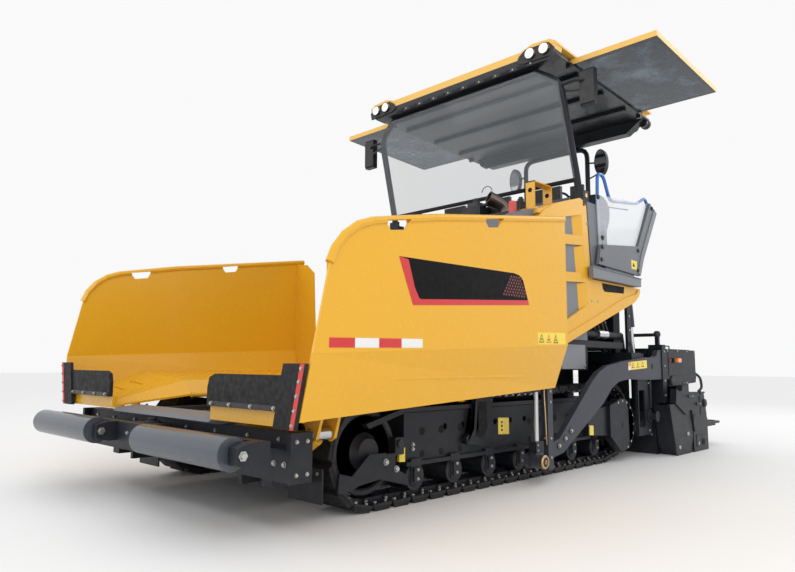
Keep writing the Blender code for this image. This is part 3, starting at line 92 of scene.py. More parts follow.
# ---- materials
class Nodes:
    """A short way to write a node tree."""

    def __init__(self, name):
        self.material = bpy.data.materials.new(name)
        self.material.use_nodes = True
        self.tree = self.material.node_tree
        self.shader = self.tree.nodes["Principled BSDF"]
        self.place = self.tree.nodes.new("ShaderNodeTexCoord").outputs["Object"]

    def put(self, kind, **sockets):
        made = self.tree.nodes.new(kind)
        for key, value in sockets.items():
            self.give(made.inputs[key.replace("_", " ")], value)
        return made

    def give(self, socket, value):
        if isinstance(value, bpy.types.NodeSocket):
            self.tree.links.new(value, socket)
        else:
            socket.default_value = value

    def noise(self, scale, detail=4.0, rough=0.55, place=None):
        made = self.put("ShaderNodeTexNoise", Scale=scale, Detail=detail, Roughness=rough)
        self.give(made.inputs["Vector"], place or self.place)
        return made.outputs["Fac"]

    def stretched(self, scale):
        made = self.put("ShaderNodeMapping", Vector=self.place)
        made.inputs["Scale"].default_value = scale
        return made.outputs["Vector"]

    def span(self, value, low, high, to_low=0.0, to_high=1.0):
        made = self.put("ShaderNodeMapRange", Value=value)
        for key, number in (("From Min", low), ("From Max", high), ("To Min", to_low), ("To Max", to_high)):
            made.inputs[key].default_value = number
        return made.outputs["Result"]

    def maths(self, operation, a, b=0.0):
        made = self.tree.nodes.new("ShaderNodeMath")
        made.operation = operation
        self.give(made.inputs[0], a)
        self.give(made.inputs[1], b)
        return made.outputs[0]

    def mix(self, factor, a, b):
        made = self.tree.nodes.new("ShaderNodeMix")
        made.data_type = "RGBA"
        self.give(made.inputs["Factor"], factor)
        self.give(made.inputs["A"], (*a, 1) if isinstance(a, tuple) else a)
        self.give(made.inputs["B"], (*b, 1) if isinstance(b, tuple) else b)
        return made.outputs["Result"]

    def bump(self, height, strength, distance=0.002, under=None):
        made = self.put("ShaderNodeBump", Height=height, Strength=strength, Distance=distance)
        if under is not None:
            self.give(made.inputs["Normal"], under)
        return made.outputs["Normal"]

    def axis(self, letter):
        return self.put("ShaderNodeSeparateXYZ", Vector=self.place).outputs[letter]

    def set(self, **sockets):
        for key, value in sockets.items():
            self.give(self.shader.inputs[key.replace("_", " ")], value)
        return self.material


def shade(colour, by):
    return tuple(min(1.0, c * by) for c in colour)


def paint(name, colour, rough=0.32, metallic=0.0, dust=0.25, dust_top=0.9, coat=0.25, peel=0.05, vary=0.06,
          level=0.5):
    """Sprayed paint: cloudy tone, orange peel, road dust that thins out upwards."""
    n = Nodes(name)
    base = n.mix(n.noise(1.7, 5), shade(colour, 1 - vary), shade(colour, 1 + vary))
    low = n.span(n.axis("Z"), 0.0, dust_top, 1.0, 0.0)
    patches = n.span(n.noise(7.0, 8, 0.65), 0.35, 0.75)
    dusty = n.maths("MULTIPLY", n.maths("MULTIPLY", low, patches), dust)
    base = n.mix(dusty, base, (0.36, 0.33, 0.28))
    roughness = n.maths("ADD", n.span(n.noise(22.0, 6), 0.3, 0.7, rough * 0.92, rough * 1.1),
        n.maths("MULTIPLY", dusty, 0.4))
    bump = n.bump(n.noise(420.0, 2), peel, 0.0006)
    return n.set(Base_Color=base, Roughness=roughness, Metallic=metallic, Normal=bump, Coat_Weight=coat,
        Coat_Roughness=0.12, Specular_IOR_Level=level)


def cast(name, colour, rough=0.6, metallic=0.4, dust=0.5, grain=60.0):
    """Cast or forged steel: coarse grain, worn bright spots, dried dirt."""
    n = Nodes(name)
    base = n.mix(n.noise(9.0, 8, 0.7), shade(colour, 0.6), shade(colour, 1.5))
    worn = n.span(n.noise(31.0, 8, 0.75), 0.58, 0.72)
    base = n.mix(n.maths("MULTIPLY", worn, 0.5), base, shade(colour, 3.2))
    dirt = n.maths("MULTIPLY", n.span(n.noise(5.0, 8, 0.7), 0.45, 0.75), dust)
    base = n.mix(dirt, base, (0.16, 0.145, 0.125))
    roughness = n.span(n.noise(18.0, 6), 0.3, 0.7, rough * 0.8, min(1.0, rough * 1.3))
    bump = n.bump(n.noise(grain, 6, 0.7), 0.35, 0.003)
    return n.set(Base_Color=base, Roughness=roughness, Metallic=metallic, Normal=bump)


def steel(name, colour=(0.62, 0.63, 0.65), rough=0.24, lines=(4.0, 90.0, 90.0)):
    """Turned or ground steel with fine lines across it."""
    n = Nodes(name)
    scratched = n.noise(6.0, 6, 0.6, n.stretched(lines))
    base = n.mix(scratched, shade(colour, 0.75), shade(colour, 1.15))
    roughness = n.span(n.noise(14.0, 5), 0.3, 0.7, rough * 0.7, rough * 1.6)
    return n.set(Base_Color=base, Roughness=roughness, Metallic=1.0, Normal=n.bump(scratched, 0.08, 0.001))


def rubber(name, colour=(0.02, 0.02, 0.021), rough=0.62):
    n = Nodes(name)
    base = n.mix(n.span(n.noise(12.0, 8, 0.7), 0.4, 0.8), colour, shade(colour, 2.4))
    bump = n.bump(n.noise(160.0, 4), 0.25, 0.001, n.bump(n.noise(6.0, 3), 0.2, 0.01))
    return n.set(Base_Color=base, Roughness=n.span(n.noise(30.0, 4), 0.3, 0.7, rough * 0.8, rough * 1.2),
        Normal=bump)


def pane(name, colour, alpha, rough=0.03):
    n = Nodes(name)
    streaks = n.noise(3.0, 6, 0.6, n.stretched((1.0, 1.0, 0.35)))
    base = n.mix(streaks, shade(colour, 0.8), shade(colour, 1.15))
    made = n.set(Base_Color=base, Roughness=n.span(n.noise(40.0, 6), 0.4, 0.8, rough, rough * 3),
        Alpha=alpha)
    n.set(IOR=1.5, Specular_IOR_Level=0.8)
    return made


def vinyl(name, colour, rough=0.3, coat=0.4, level=0.5):
    """A printed sticker: faint print grain under a clear film."""
    n = Nodes(name)
    base = n.mix(n.noise(60.0, 4), shade(colour, 0.9), shade(colour, 1.06))
    return n.set(Base_Color=base, Roughness=n.span(n.noise(25.0, 3), 0.3, 0.7, rough * 0.8, rough * 1.3),
        Normal=n.bump(n.noise(200.0, 2), 0.05, 0.0005), Coat_Weight=coat, Specular_IOR_Level=level)


def mesh_sheet(name, colour, hole=0.006, pitch=0.012):
    """Perforated sheet: a grid of round holes, painted dark as painted shade for the dark seen through them.
    """
    n = Nodes(name)
    dots = n.put("ShaderNodeTexVoronoi", Scale=1.0 / pitch, Randomness=0.0)
    n.give(dots.inputs["Vector"], n.place)
    hollow = n.span(dots.outputs["Distance"], hole / pitch * 0.85, hole / pitch, 1.0, 0.0)
    # Painted shade: the holes are darkened to stand in for the shade seen through them.
    base = n.mix(hollow, colour, shade(colour, 0.12))
    return n.set(Base_Color=base, Roughness=n.span(hollow, 0.0, 1.0, 0.4, 0.9),
        Normal=n.bump(hollow, -0.6, 0.002))


def lamp_glass(name, colour, glow=0.0):
    n = Nodes(name)
    ribs = n.noise(5.0, 2, 0.5, n.stretched((60.0, 60.0, 60.0)))
    base = n.mix(ribs, shade(colour, 0.7), colour)
    made = n.set(Base_Color=base, Roughness=0.08, Normal=n.bump(ribs, 0.3, 0.002), Coat_Weight=1.0)
    if glow:
        n.set(Emission_Color=base, Emission_Strength=glow)
    return made


YELLOW = (0.77, 0.405, 0.018)
M = {
    "yellow": paint("yellow_enamel", YELLOW, 0.26, coat=0.22, dust=0.03, peel=0.02, vary=0.02, level=0.4),
    "dark": paint("anthracite_enamel", (0.0095, 0.0115, 0.0175), 0.44, dust=0.06, level=0.32, coat=0.0,
                  vary=0.15),
    "grey": paint("cabinet_enamel", (0.15, 0.16, 0.182), 0.45, dust=0.0, level=0.4, coat=0.0, vary=0.08),
    "pale": paint("arm_enamel", (0.034, 0.039, 0.053), 0.4, dust=0.04, level=0.35, coat=0.0, vary=0.08),
    "roller": paint("roller_enamel", (0.07, 0.08, 0.1), 0.24, 0.2, dust=0.06, coat=0.05, vary=0.1),
    "cabinet": paint("window_panel_enamel", (0.17, 0.18, 0.2), 0.4, dust=0.0, coat=0.0, vary=0.1),
    "slate": paint("slate_enamel", (0.19, 0.2, 0.225), 0.45, dust=0.0, coat=0.0, vary=0.08),
    "blue": paint("rail_enamel", (0.02, 0.16, 0.55), 0.28, dust=0.0, coat=0.4),
    "red": paint("signal_enamel", (0.62, 0.03, 0.02), 0.35, dust=0.0, coat=0.3),
    "track": cast("track_steel_worn", (0.012, 0.013, 0.017), 0.5, 0.3, 0.12),
    "iron": cast("gear_iron", (0.02, 0.022, 0.027), 0.5, 0.3, 0.15),
    "steel": steel("bright_bar"),
    "plated": steel("zinc_bolt", (0.5, 0.5, 0.48), 0.34, (30.0, 30.0, 30.0)),
    "brass": steel("brass_line", (0.6, 0.42, 0.2), 0.3),
    "chrome": steel("exhaust_chrome", (0.2, 0.17, 0.15), 0.3, (2.0, 2.0, 2.0)),
    "rubber": rubber("flap_rubber", (0.005, 0.005, 0.0055), 0.75),
    "hose": rubber("hose_rubber", (0.012, 0.012, 0.013), 0.45),
    "fabric": rubber("seat_vinyl", (0.022, 0.023, 0.025), 0.55),
    "black": rubber("moulded_plastic", (0.014, 0.014, 0.015), 0.42),
    # Painted shade: deep_shade is a near-black fill that stands in for the shade in holes, slots, recesses
    # and see-through gaps.
    "void": rubber("deep_shade", (0.004, 0.004, 0.005), 0.9),
    "windscreen": pane("laminated_glass", (0.25, 0.28, 0.31), 0.2),
    "guard": pane("guard_polycarbonate", (0.7, 0.74, 0.8), 0.34, 0.05),
    "mirror": steel("mirror_silver", (0.8, 0.82, 0.84), 0.04, (1.0, 1.0, 1.0)),
    "lens": lamp_glass("lamp_lens", (0.9, 0.92, 0.95), 0.6),
    # The amber glow suits the lamp on the screed box; on the tow arm's amber reflector film it is a painted
    # glow.
    "amber": lamp_glass("amber_lens", (0.9, 0.22, 0.02), 0.2),
    "white_vinyl": vinyl("white_tape", (0.8, 0.8, 0.79)),
    "red_vinyl": vinyl("red_tape", (0.6, 0.014, 0.016)),
    "maroon": vinyl("maroon_tape", (0.16, 0.012, 0.012)),
    "black_vinyl": vinyl("black_sheet", (0.004, 0.004, 0.005), 0.5, 0.0, 0.12),
    "yellow_vinyl": vinyl("caution_sheet", (0.88, 0.66, 0.04)),
    "mesh": mesh_sheet("perforated_sheet", (0.035, 0.036, 0.04)),
}


# ---- geometry
def ring_at(point, direction, radius, sides, spin=0.0):
    turn = Vector(direction).to_track_quat("Z", "Y")
    step = 2 * math.pi / sides
    angles = [i * step + spin for i in range(sides)]
    return [Vector(point) + turn @ Vector((math.cos(a), math.sin(a), 0)) * radius for a in angles]


def arc(centre, radius, start, end, steps):
    points = []
    for i in range(steps + 1):
        angle = math.radians(start + (end - start) * i / steps)
        points.append((centre[0] + radius * math.cos(angle), centre[1] + radius * math.sin(angle)))
    return points


def smooth_line(points, radius, steps=4):
    """A line of points with its inner corners turned into arcs."""
    points = [Vector(p) for p in points]
    result = [points[0]]
    for before, corner, after in zip(points, points[1:], points[2:]):
        reach = min(radius, (before - corner).length * 0.45, (after - corner).length * 0.45)
        start = corner + (before - corner).normalized() * reach
        end = corner + (after - corner).normalized() * reach
        for i in range(steps + 1):
            t = i / steps
            result.append((1 - t) ** 2 * start + 2 * t * (1 - t) * corner + t ** 2 * end)
    result.append(points[-1])
    return result


class Piece:
    """One piece of looks, put together from solids that each have a material; side -1 mirrors it."""

    def __init__(self, side=1):
        self.bm = bmesh.new()
        self.materials = []
        self.side = side

    def index(self, name):
        if name not in self.materials:
            self.materials.append(name)
        return self.materials.index(name)

    def vert(self, point):
        x, y, z = point
        return self.bm.verts.new((x * self.side, y, z))

    def rings(self, rings, material, closed=True):
        number = self.index(material)
        rows = [[self.vert(p) for p in ring] for ring in rings]
        made = []
        for near, far in zip(rows, rows[1:]):
            for i in range(len(near)):
                j = (i + 1) % len(near)
                made.append(self.bm.faces.new((near[i], near[j], far[j], far[i])))
        if closed:
            made.append(self.bm.faces.new(rows[0][::-1]))
            made.append(self.bm.faces.new(rows[-1]))
        for face in made:
            face.material_index = number
        return self

    def prism(self, outline, axis, low, high, material):
        def place(point, height):
            a, b = point
            return {"X": (height, a, b), "Y": (a, height, b), "Z": (a, b, height)}[axis]
        return self.rings([[place(p, low) for p in outline], [place(p, high) for p in outline]], material)

    def box(self, x0, x1, y0, y1, z0, z1, material):
        return self.prism([(x0, y0), (x1, y0), (x1, y1), (x0, y1)], "Z", z0, z1, material)

    def rod(self, start, end, radius, material, sides=20, end_radius=None, spin=0.0):
        direction = Vector(end) - Vector(start)
        far = radius if end_radius is None else end_radius
        ends = ((start, radius), (end, far))
        return self.rings([ring_at(point, direction, size, sides, spin) for point, size in ends], material)

    def turned(self, start, direction, profile, material, sides=28):
        """A turned part: profile holds (distance along, radius)."""
        start, direction = Vector(start), Vector(direction).normalized()
        rings = [ring_at(start + direction * along, direction, radius, sides) for along, radius in profile]
        return self.rings(rings, material)

    def ring(self, start, end, outer, inner, material, sides=28):
        start, end = Vector(start), Vector(end)
        direction = end - start
        corners = ((start, inner), (start, outer), (end, outer), (end, inner))
        loops = [ring_at(point, direction, radius, sides) for point, radius in corners]
        return self.rings(loops + loops[:1], material, closed=False)

    def tube(self, points, radius, material, sides=12):
        points = [Vector(p) for p in points]
        rings = []
        turn = None
        last = None
        for i, point in enumerate(points):
            ahead = points[min(i + 1, len(points) - 1)] - points[max(i - 1, 0)]
            ahead.normalize()
            turn = ahead.to_track_quat("Z", "Y") if last is None else last.rotation_difference(ahead) @ turn
            last = ahead
            angles = [k * (2 * math.pi / sides) for k in range(sides)]
            rings.append([point + turn @ Vector((math.cos(a), math.sin(a), 0)) * radius for a in angles])
        return self.rings(rings, material)

    def hose(self, points, bend, radius, material, sides):
        return self.tube(smooth_line(points, bend), radius, material, sides)

    def bolt(self, point, direction, size, material="plated"):
        """A hexagon head on a washer."""
        point, direction = Vector(point), Vector(direction).normalized()
        self.turned(point, direction, [(0, size * 1.25), (size * 0.2, size * 1.25)], material, 16)
        head = [(0, size), (size * 0.7, size), (size * 0.85, size * 0.8)]
        self.turned(point + direction * size * 0.2, direction, head, material, 6)
        return self

    def boxes(self, material, *rows):
        for row in rows:
            self.box(*row, material)

    def film(self, outline, face, thickness, material):
        """A sticker or a plate on a side face."""
        return self.prism(outline, "X", face, face + thickness, material)

    def warning(self, face, thickness, y, z, half, heights, edge, lean=0.002):
        """A warning triangle: a coloured one with a smaller yellow one on it, no sign inside."""
        outer = [(y - half, z), (y + half, z + lean), (y, z + heights[0])]
        half -= 0.01
        inner = [(y - half, z + 0.006), (y + half, z + 0.008), (y, z + heights[1])]
        self.film(outer, face, thickness, edge)
        self.film(inner, face, thickness + 0.0005, "yellow_vinyl")

    def finish(self, name, body, bevel=0.0, segments=2, angle=35):
        bmesh.ops.triangulate(self.bm, faces=[f for f in self.bm.faces if len(f.verts) > 4])
        bmesh.ops.recalc_face_normals(self.bm, faces=self.bm.faces)
        mesh = bpy.data.meshes.new(name)
        self.bm.to_mesh(mesh)
        self.bm.free()
        for key in self.materials:
            mesh.materials.append(M[key])
        mesh.shade_smooth()
        mesh.set_sharp_from_angle(angle=math.radians(angle))
        made = bpy.data.objects.new(name, mesh)
        bpy.context.scene.collection.objects.link(made)
        if bevel:
            modifier = made.modifiers.new("edges", "BEVEL")
            modifier.width = bevel
            modifier.segments = segments
            modifier.limit_method = "ANGLE"
            modifier.angle_limit = math.radians(angle)
            modifier.harden_normals = True
        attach(made, body)
        return made


def dress(material, *names):
    """Gives CAD nodes their finish."""
    for name in names:
        node = NODES[name]
        node.data.materials.clear()
        node.data.materials.append(M[material])


def both(name):
    return [f"{word}_{name}" for word, _ in SIDES]


# ---- CAD nodes
dress("yellow", "hopper_rear_wall", *both("hopper_wing"), *both("side_panel"), *both("wing_cylinder"))
dress("dark", "main_frame", "front_beam", "push_bar", "screed_frame", "windscreen_frame", "rear_hoop",
    *both("track_frame"), *both("final_drive"), *both("screed_extension"))
dress("grey", "engine_hood", "operator_platform", "operator_console", "hopper_apron", *both("side_guard"))
dress("pale", *both("tow_post"), *both("tow_arm"), *both("lift_cylinder"))
dress("roller", *both("push_roller"))
dress("blue", *both("handrail"))
dress("steel", *both("wing_rod"), *both("lift_rod"))
dress("iron", "engine", "conveyor_floor", *both("auger"))
dress("track", *both("track"))
dress("chrome", "exhaust_pipe")
dress("rubber", *both("wing_flap"))
dress("fabric", *both("seat"))
dress("windscreen", "windscreen_glass")
dress("guard", *both("guard_glass"))


def roof_material():
    """The roof is one sheet-metal body: amber on its top skin, near black below its edge."""
    n = Nodes("canopy_two_tone")
    height = n.maths("ADD", n.axis("Z"), n.maths("MULTIPLY", n.axis("Y"), ROOF_SLOPE))
    above = n.span(height, 3.772, 3.7728)
    cloud = n.noise(2.0, 5)
    top = n.mix(cloud, (0.84, 0.49, 0.1), (0.9, 0.56, 0.14))
    under = n.mix(cloud, (0.006, 0.0075, 0.01), (0.01, 0.012, 0.016))
    roughness = n.span(n.noise(20.0, 5), 0.3, 0.7, 0.3, 0.48)
    return n.set(Base_Color=n.mix(above, under, top), Roughness=roughness,
        Normal=n.bump(n.noise(300.0, 2), 0.05, 0.001), Coat_Weight=0.15)


def extension_material():
    """The sliding roof panel: amber above and on its edges, a dark film in a black frame below, with lighter
    mottling on the film as a painted reflection.
    """
    n = Nodes("extension_two_tone")
    facing = n.put("ShaderNodeSeparateXYZ",
        Vector=n.tree.nodes.new("ShaderNodeNewGeometry").outputs["Normal"])
    below = n.span(facing.outputs["Z"], -0.6, -0.5, 1.0, 0.0)
    across, along = n.maths("ABSOLUTE", n.axis("X")), n.axis("Y")
    inside = n.maths("MULTIPLY", n.maths("LESS_THAN", across, 1.955), n.maths("GREATER_THAN", along, 0.425))
    inside = n.maths("MULTIPLY", inside, n.maths("LESS_THAN", along, 1.745))
    cloud = n.noise(2.0, 5)
    # Painted reflection: lighter blue clouds on the dark film stand in for the sheen of the surroundings.
    painted_sheen = n.span(n.noise(2.6, 7, 0.62), 0.48, 0.72)
    under = n.mix(inside, (0.006, 0.007, 0.009), n.mix(painted_sheen, (0.006, 0.016, 0.032), (0.13, 0.19, 0.26)))
    top = n.mix(cloud, (0.84, 0.49, 0.1), (0.9, 0.56, 0.14))
    roughness = n.span(n.noise(20.0, 5), 0.3, 0.7, 0.16, 0.34)
    return n.set(Base_Color=n.mix(below, top, under), Roughness=roughness,
        Normal=n.bump(n.noise(300.0, 2), 0.03, 0.001), Coat_Weight=0.1)


def tow_point_material():
    """The slide is painted; the rod above it is bright."""
    n = Nodes("tow_slide_two_tone")
    aside = n.maths("ABSOLUTE", n.maths("SUBTRACT", n.maths("ABSOLUTE", n.axis("X")), 1.37))
    bright = n.maths("MULTIPLY", n.maths("GREATER_THAN", n.axis("Z"), 0.332),
        n.maths("LESS_THAN", aside, 0.023))
    fine = n.noise(6.0, 6, 0.6, n.stretched((90.0, 90.0, 4.0)))
    painted = n.mix(fine, (0.03, 0.035, 0.048), (0.038, 0.043, 0.058))
    ground = n.mix(fine, (0.5, 0.51, 0.53), (0.72, 0.73, 0.75))
    return n.set(Base_Color=n.mix(bright, painted, ground), Metallic=bright,
        Roughness=n.span(fine, 0.3, 0.7, 0.24, 0.38), Normal=n.bump(fine, 0.04, 0.0006))


M["tow_slide"] = tow_point_material()
dress("tow_slide", *both("tow_point"))
M["extension"] = extension_material()
dress("extension", *both("canopy_extension"))
M["roof"] = roof_material()
dress("roof", "canopy_roof")


# ---- stage
def make_stage():
    n = Nodes("studio_floor")
    n.set(Base_Color=n.mix(n.noise(0.6, 3), (0.86, 0.86, 0.86), (0.89, 0.89, 0.89)), Roughness=0.65)
    mesh = bpy.data.meshes.new("floor")
    half = FLOOR_HALF
    corners = [(-half, -half, 0), (half, -half, 0), (half, half, 0), (-half, half, 0)]
    mesh.from_pydata(corners, [], [(0, 1, 2, 3)])
    mesh.materials.append(n.material)
    floor = bpy.data.objects.new("floor", mesh)
    floor.location.z = -FLOOR_GAP
    bpy.context.scene.collection.objects.link(floor)

    world = bpy.data.worlds.new("studio")
    bpy.context.scene.world = world
    world.use_nodes = True
    background = world.node_tree.nodes["Background"]
    background.inputs["Color"].default_value = (1.0, 1.0, 1.0, 1.0)
    background.inputs["Strength"].default_value = 0.95

    for name, place, size, power in (("key", (7.5, -7.0, 7.5), 5.0, 230.0),
                                     ("front", (-4.0, -9.0, 5.0), 5.0, 90.0),
                                     ("rear", (3.0, 8.0, 6.5), 6.0, 120.0),
                                     ("low", (8.0, -1.0, 0.9), 3.0, 22.0)):
        light = bpy.data.lights.new(name, "AREA")
        light.energy = power
        light.size = size
        lamp = bpy.data.objects.new(name, light)
        lamp.location = place
        lamp.rotation_euler = (Vector((0, 0, 1.2)) - Vector(place)).to_track_quat("-Z", "Y").to_euler()
        bpy.context.scene.collection.objects.link(lamp)


def make_camera():
    yaw, pitch, roll = CAMERA_TURNS
    ahead = Vector((-math.sin(yaw) * math.cos(pitch), math.cos(yaw) * math.cos(pitch), math.sin(pitch)))
    right = ahead.cross(Vector(UPWARD)).normalized()
    up = right.cross(ahead)
    tilted_right = right * math.cos(roll) + up * math.sin(roll)
    tilted_up = up * math.cos(roll) - right * math.sin(roll)
    data = bpy.data.cameras.new("camera")
    data.sensor_width, data.lens = CAMERA_SENSOR, CAMERA_LENS
    camera = bpy.data.objects.new("camera", data)
    basis = Matrix((tilted_right, tilted_up, -ahead)).transposed()
    camera.matrix_world = Matrix.Translation(CAMERA_PLACE) @ basis.to_4x4()
    bpy.context.scene.collection.objects.link(camera)
    bpy.context.scene.camera = camera


make_stage()
make_camera()
bpy.context.scene.view_settings.view_transform = "Standard"

# ---- track shoes and links
WRAPS = ((-2.17, 0.355, 0.355), (0.8, 0.17, 0.17), (1.014, 0.385, 0.345))
SHOES = 49


def track_frame_at(share):
    """Where a share of the track's outer line lies: Y, Z and the outward angle."""
    legs = []
    for (y0, z0, r0), (y1, z1, r1) in zip(WRAPS, WRAPS[1:] + WRAPS[:1]):
        gap = math.hypot(y1 - y0, z1 - z0)
        lean = math.asin((r1 - r0) / gap)
        legs.append((math.atan2(z1 - z0, y1 - y0) - lean, gap * math.cos(lean)))
    path = []
    for i, (angle, length) in enumerate(legs):
        after = (i + 1) % len(WRAPS)
        turn = (legs[after][0] - angle) % (2 * math.pi)
        path.append((True, i, angle, length))
        path.append((False, after, angle, turn * WRAPS[after][2]))
    left = share * sum(part[3] for part in path)
    for straight, index, angle, length in path:
        if left <= length:
            break
        left -= length
    y, z, r = WRAPS[index]
    normal = angle - math.pi / 2
    if straight:
        return (y + r * math.cos(normal) + left * math.cos(angle),
            z + r * math.sin(normal) + left * math.sin(angle), normal)
    normal += left / r
    return y + r * math.cos(normal), z + r * math.sin(normal), normal


def make_track(word, side):
    piece = Piece(side)
    middle, half = TRACK_MIDDLE_X, TRACK_HALF_WIDTH
    ends = [track_frame_at((i + 0.5) / SHOES) for i in range(SHOES)]
    joints = [track_frame_at((i + 0.02) / SHOES) for i in range(SHOES)]
    for i, (y, z, normal) in enumerate(ends):
        out = Vector((math.cos(normal), math.sin(normal)))
        along = Vector((-out.y, out.x))

        def at(s, n, y=y, z=z, out=out, along=along):
            return (y + along.x * s + out.x * n, z + along.y * s + out.y * n)

        pad = [at(-0.074, -0.03), at(-0.06, -0.001), at(0.06, -0.001), at(0.074, -0.03)]
        piece.prism(pad, "X", middle - half + 0.004, middle + half - 0.004, "rubber")
        plate = [at(-0.083, -0.044), at(-0.083, -0.028), at(0.078, -0.028), at(0.078, -0.04),
            at(0.084, -0.046)]
        piece.prism(plate, "X", middle - half, middle + half, "track")
        for x in (-0.075, 0.05):
            link = [at(-0.088, -0.071), at(-0.088, -0.048), at(-0.02, -0.042), at(0.088, -0.042),
                at(0.088, -0.071)]
            piece.film(link, middle + x, 0.025, "track")
        for s in (-0.045, 0.045):
            for x in (-0.125, 0.118):
                bolt = [at(s - 0.01, -0.056), at(s - 0.01, -0.044), at(s + 0.01, -0.044),
                    at(s + 0.01, -0.056)]
                piece.film(bolt, middle + x, 0.018, "plated" if x > 0 else "track")
    for y, z, normal in joints:
        out = Vector((math.cos(normal), math.sin(normal)))
        centre = (y - out.x * 0.054, z - out.y * 0.054)
        piece.rod((middle - 0.088, *centre), (middle + 0.088, *centre), 0.017, "iron", 10)
        piece.rod((middle + 0.088, *centre), (middle + 0.096, *centre), 0.012, "plated", 8)
    made = piece.finish(f"{word}_track_chain", "tractor")
    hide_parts(f"{word}_track")


def make_undercarriage(word, side):
    piece = Piece(side)
    face = TRACK_FRAME_FACE_X
    top = [(-2.17, 0.5), (-1.84, 0.585), (0.65, 0.585), (0.65, 0.615), (-1.86, 0.615), (-2.2, 0.53)]
    piece.prism(top, "X", 0.9, face + 0.018, "dark")
    piece.film([(-1.84, 0.235), (0.62, 0.235), (0.62, 0.262), (-1.84, 0.262)], face, 0.028, "dark")
    # Dark discs on the frame face: painted shade for its holes.
    for y in (-1.66, -1.46, -1.25, -0.35, -0.15, 0.05, 0.25):
        for z, r in ((0.452, 0.027), (0.302, 0.024)):
            piece.rod((face, y, z), (face + 0.0015, y, z), r, "void", 18)
    guard = [(-2.46, 0.262), (-2.36, 0.236), (-2.22, 0.352), (-2.08, 0.35), (-1.95, 0.225), (-1.875, 0.19),
        (-1.885, 0.13), (-2.13, 0.194), (-2.3, 0.176), (-2.42, 0.14), (-2.47, 0.15)]
    piece.prism(guard, "X", 1.162, 1.176, "dark")
    piece.boxes("dark", (1.1, 1.165, -2.12, -1.98, 0.27, 0.34), (face, 1.158, -1.975, -1.895, 0.325, 0.434))
    piece.rod((1.158, -1.935, 0.395), (1.17, -1.935, 0.395), 0.026, "iron", 16)
    for y, z in ((-2.08, 0.294), (-1.985, 0.243)):
        piece.bolt((1.176, y, z), OUTWARD, 0.017)
    for y, z in ((-1.753, 0.37), (-1.753, 0.34)):
        piece.bolt((face, y, z), OUTWARD, 0.011)
    hanger = [(-1.12, 0.655), (-0.935, 0.655), (-0.915, 0.4), (-1.03, 0.308), (-1.22, 0.332),
        (-1.235, 0.382), (-1.14, 0.435)]
    piece.prism(hanger, "X", face + 0.005, face + 0.045, "dark")
    # A thin near-black plate on the hanger: painted shade for its recess.
    piece.prism([(-1.09, 0.63), (-0.99, 0.63), (-0.98, 0.43), (-1.04, 0.36), (-1.12, 0.38), (-1.09, 0.45)],
        "X", face + 0.045, face + 0.0465, "void")
    piece.film([(-1.905, 0.272), (-1.85, 0.268), (-1.85, 0.36), (-1.905, 0.365)], face, 0.022,
        "yellow_vinyl")
    piece.film([(-0.783, 0.37), (-0.64, 0.362), (-0.64, 0.489), (-0.783, 0.496)], face, 0.002,
        "yellow_vinyl")
    for y, z in ((-0.745, 0.46), (-0.745, 0.43), (-0.745, 0.4)):
        piece.box(face + 0.002, face + 0.0025, y, y + 0.02, z - 0.008, z + 0.008, "black_vinyl")
    for i in range(BOTTOM_ROLLERS):
        y = FIRST_ROLLER_Y + (LAST_ROLLER_Y - FIRST_ROLLER_Y) * i / (BOTTOM_ROLLERS - 1)
        piece.turned((1.113, y, 0.1623), OUTWARD, [(0, 0.088), (0.006, 0.088), (0.008, 0.066),
            (0.014, 0.062), (0.014, 0.05), (0.024, 0.045)], "iron", 26)
        piece.box(1.133, 1.148, y - 0.034, y + 0.034, 0.135, 0.225, "dark")
        for z in (0.15, 0.21):
            piece.bolt((1.148, y, z), OUTWARD, 0.009)
    piece.turned((1.068, -2.17, 0.355), OUTWARD, [(0, 0.262), (0.01, 0.262), (0.01, 0.235), (0.0, 0.225),
        (0.0, 0.12), (0.02, 0.1), (0.046, 0.085)], "iron", 48)
    cap = [(0, 0.042), (0.03, 0.042), (0.034, 0.03)]
    for y in (-0.9, 0.3):
        piece.turned((face - 0.02, y, 0.64), OUTWARD, cap, "iron", 20)
    cover_y, cover_z = FINAL_DRIVE
    for i in range(COVER_BOLTS):
        a = math.radians(-66 + i * 22)
        y, z = cover_y + 0.228 * math.cos(a), cover_z + 0.228 * math.sin(a)
        piece.rod((FINAL_DRIVE_FACE_X, y, z), (FINAL_DRIVE_FACE_X + 0.006, y, z), 0.011, "plated", 12)
    # A near-black box in the cover's centre: painted shade for its slot.
    piece.box(FINAL_DRIVE_FACE_X, 1.2505, cover_y - 0.012, cover_y + 0.012, cover_z - 0.022,
        cover_z + 0.022, "void")
    piece.prism(arc((cover_y, cover_z), 0.246, -62, 118, 24) + arc((cover_y, cover_z), 0.239, 118, -62, 24),
        "X", 1.25, 1.2525, "iron")
    piece.prism([(0.432, 0.286), (0.505, 0.281), (0.505, 0.366), (0.432, 0.371)], "X", 1.22, 1.2215,
        "yellow_vinyl")
    piece.finish(f"{word}_undercarriage_trim", "tractor", 0.0025, 1)


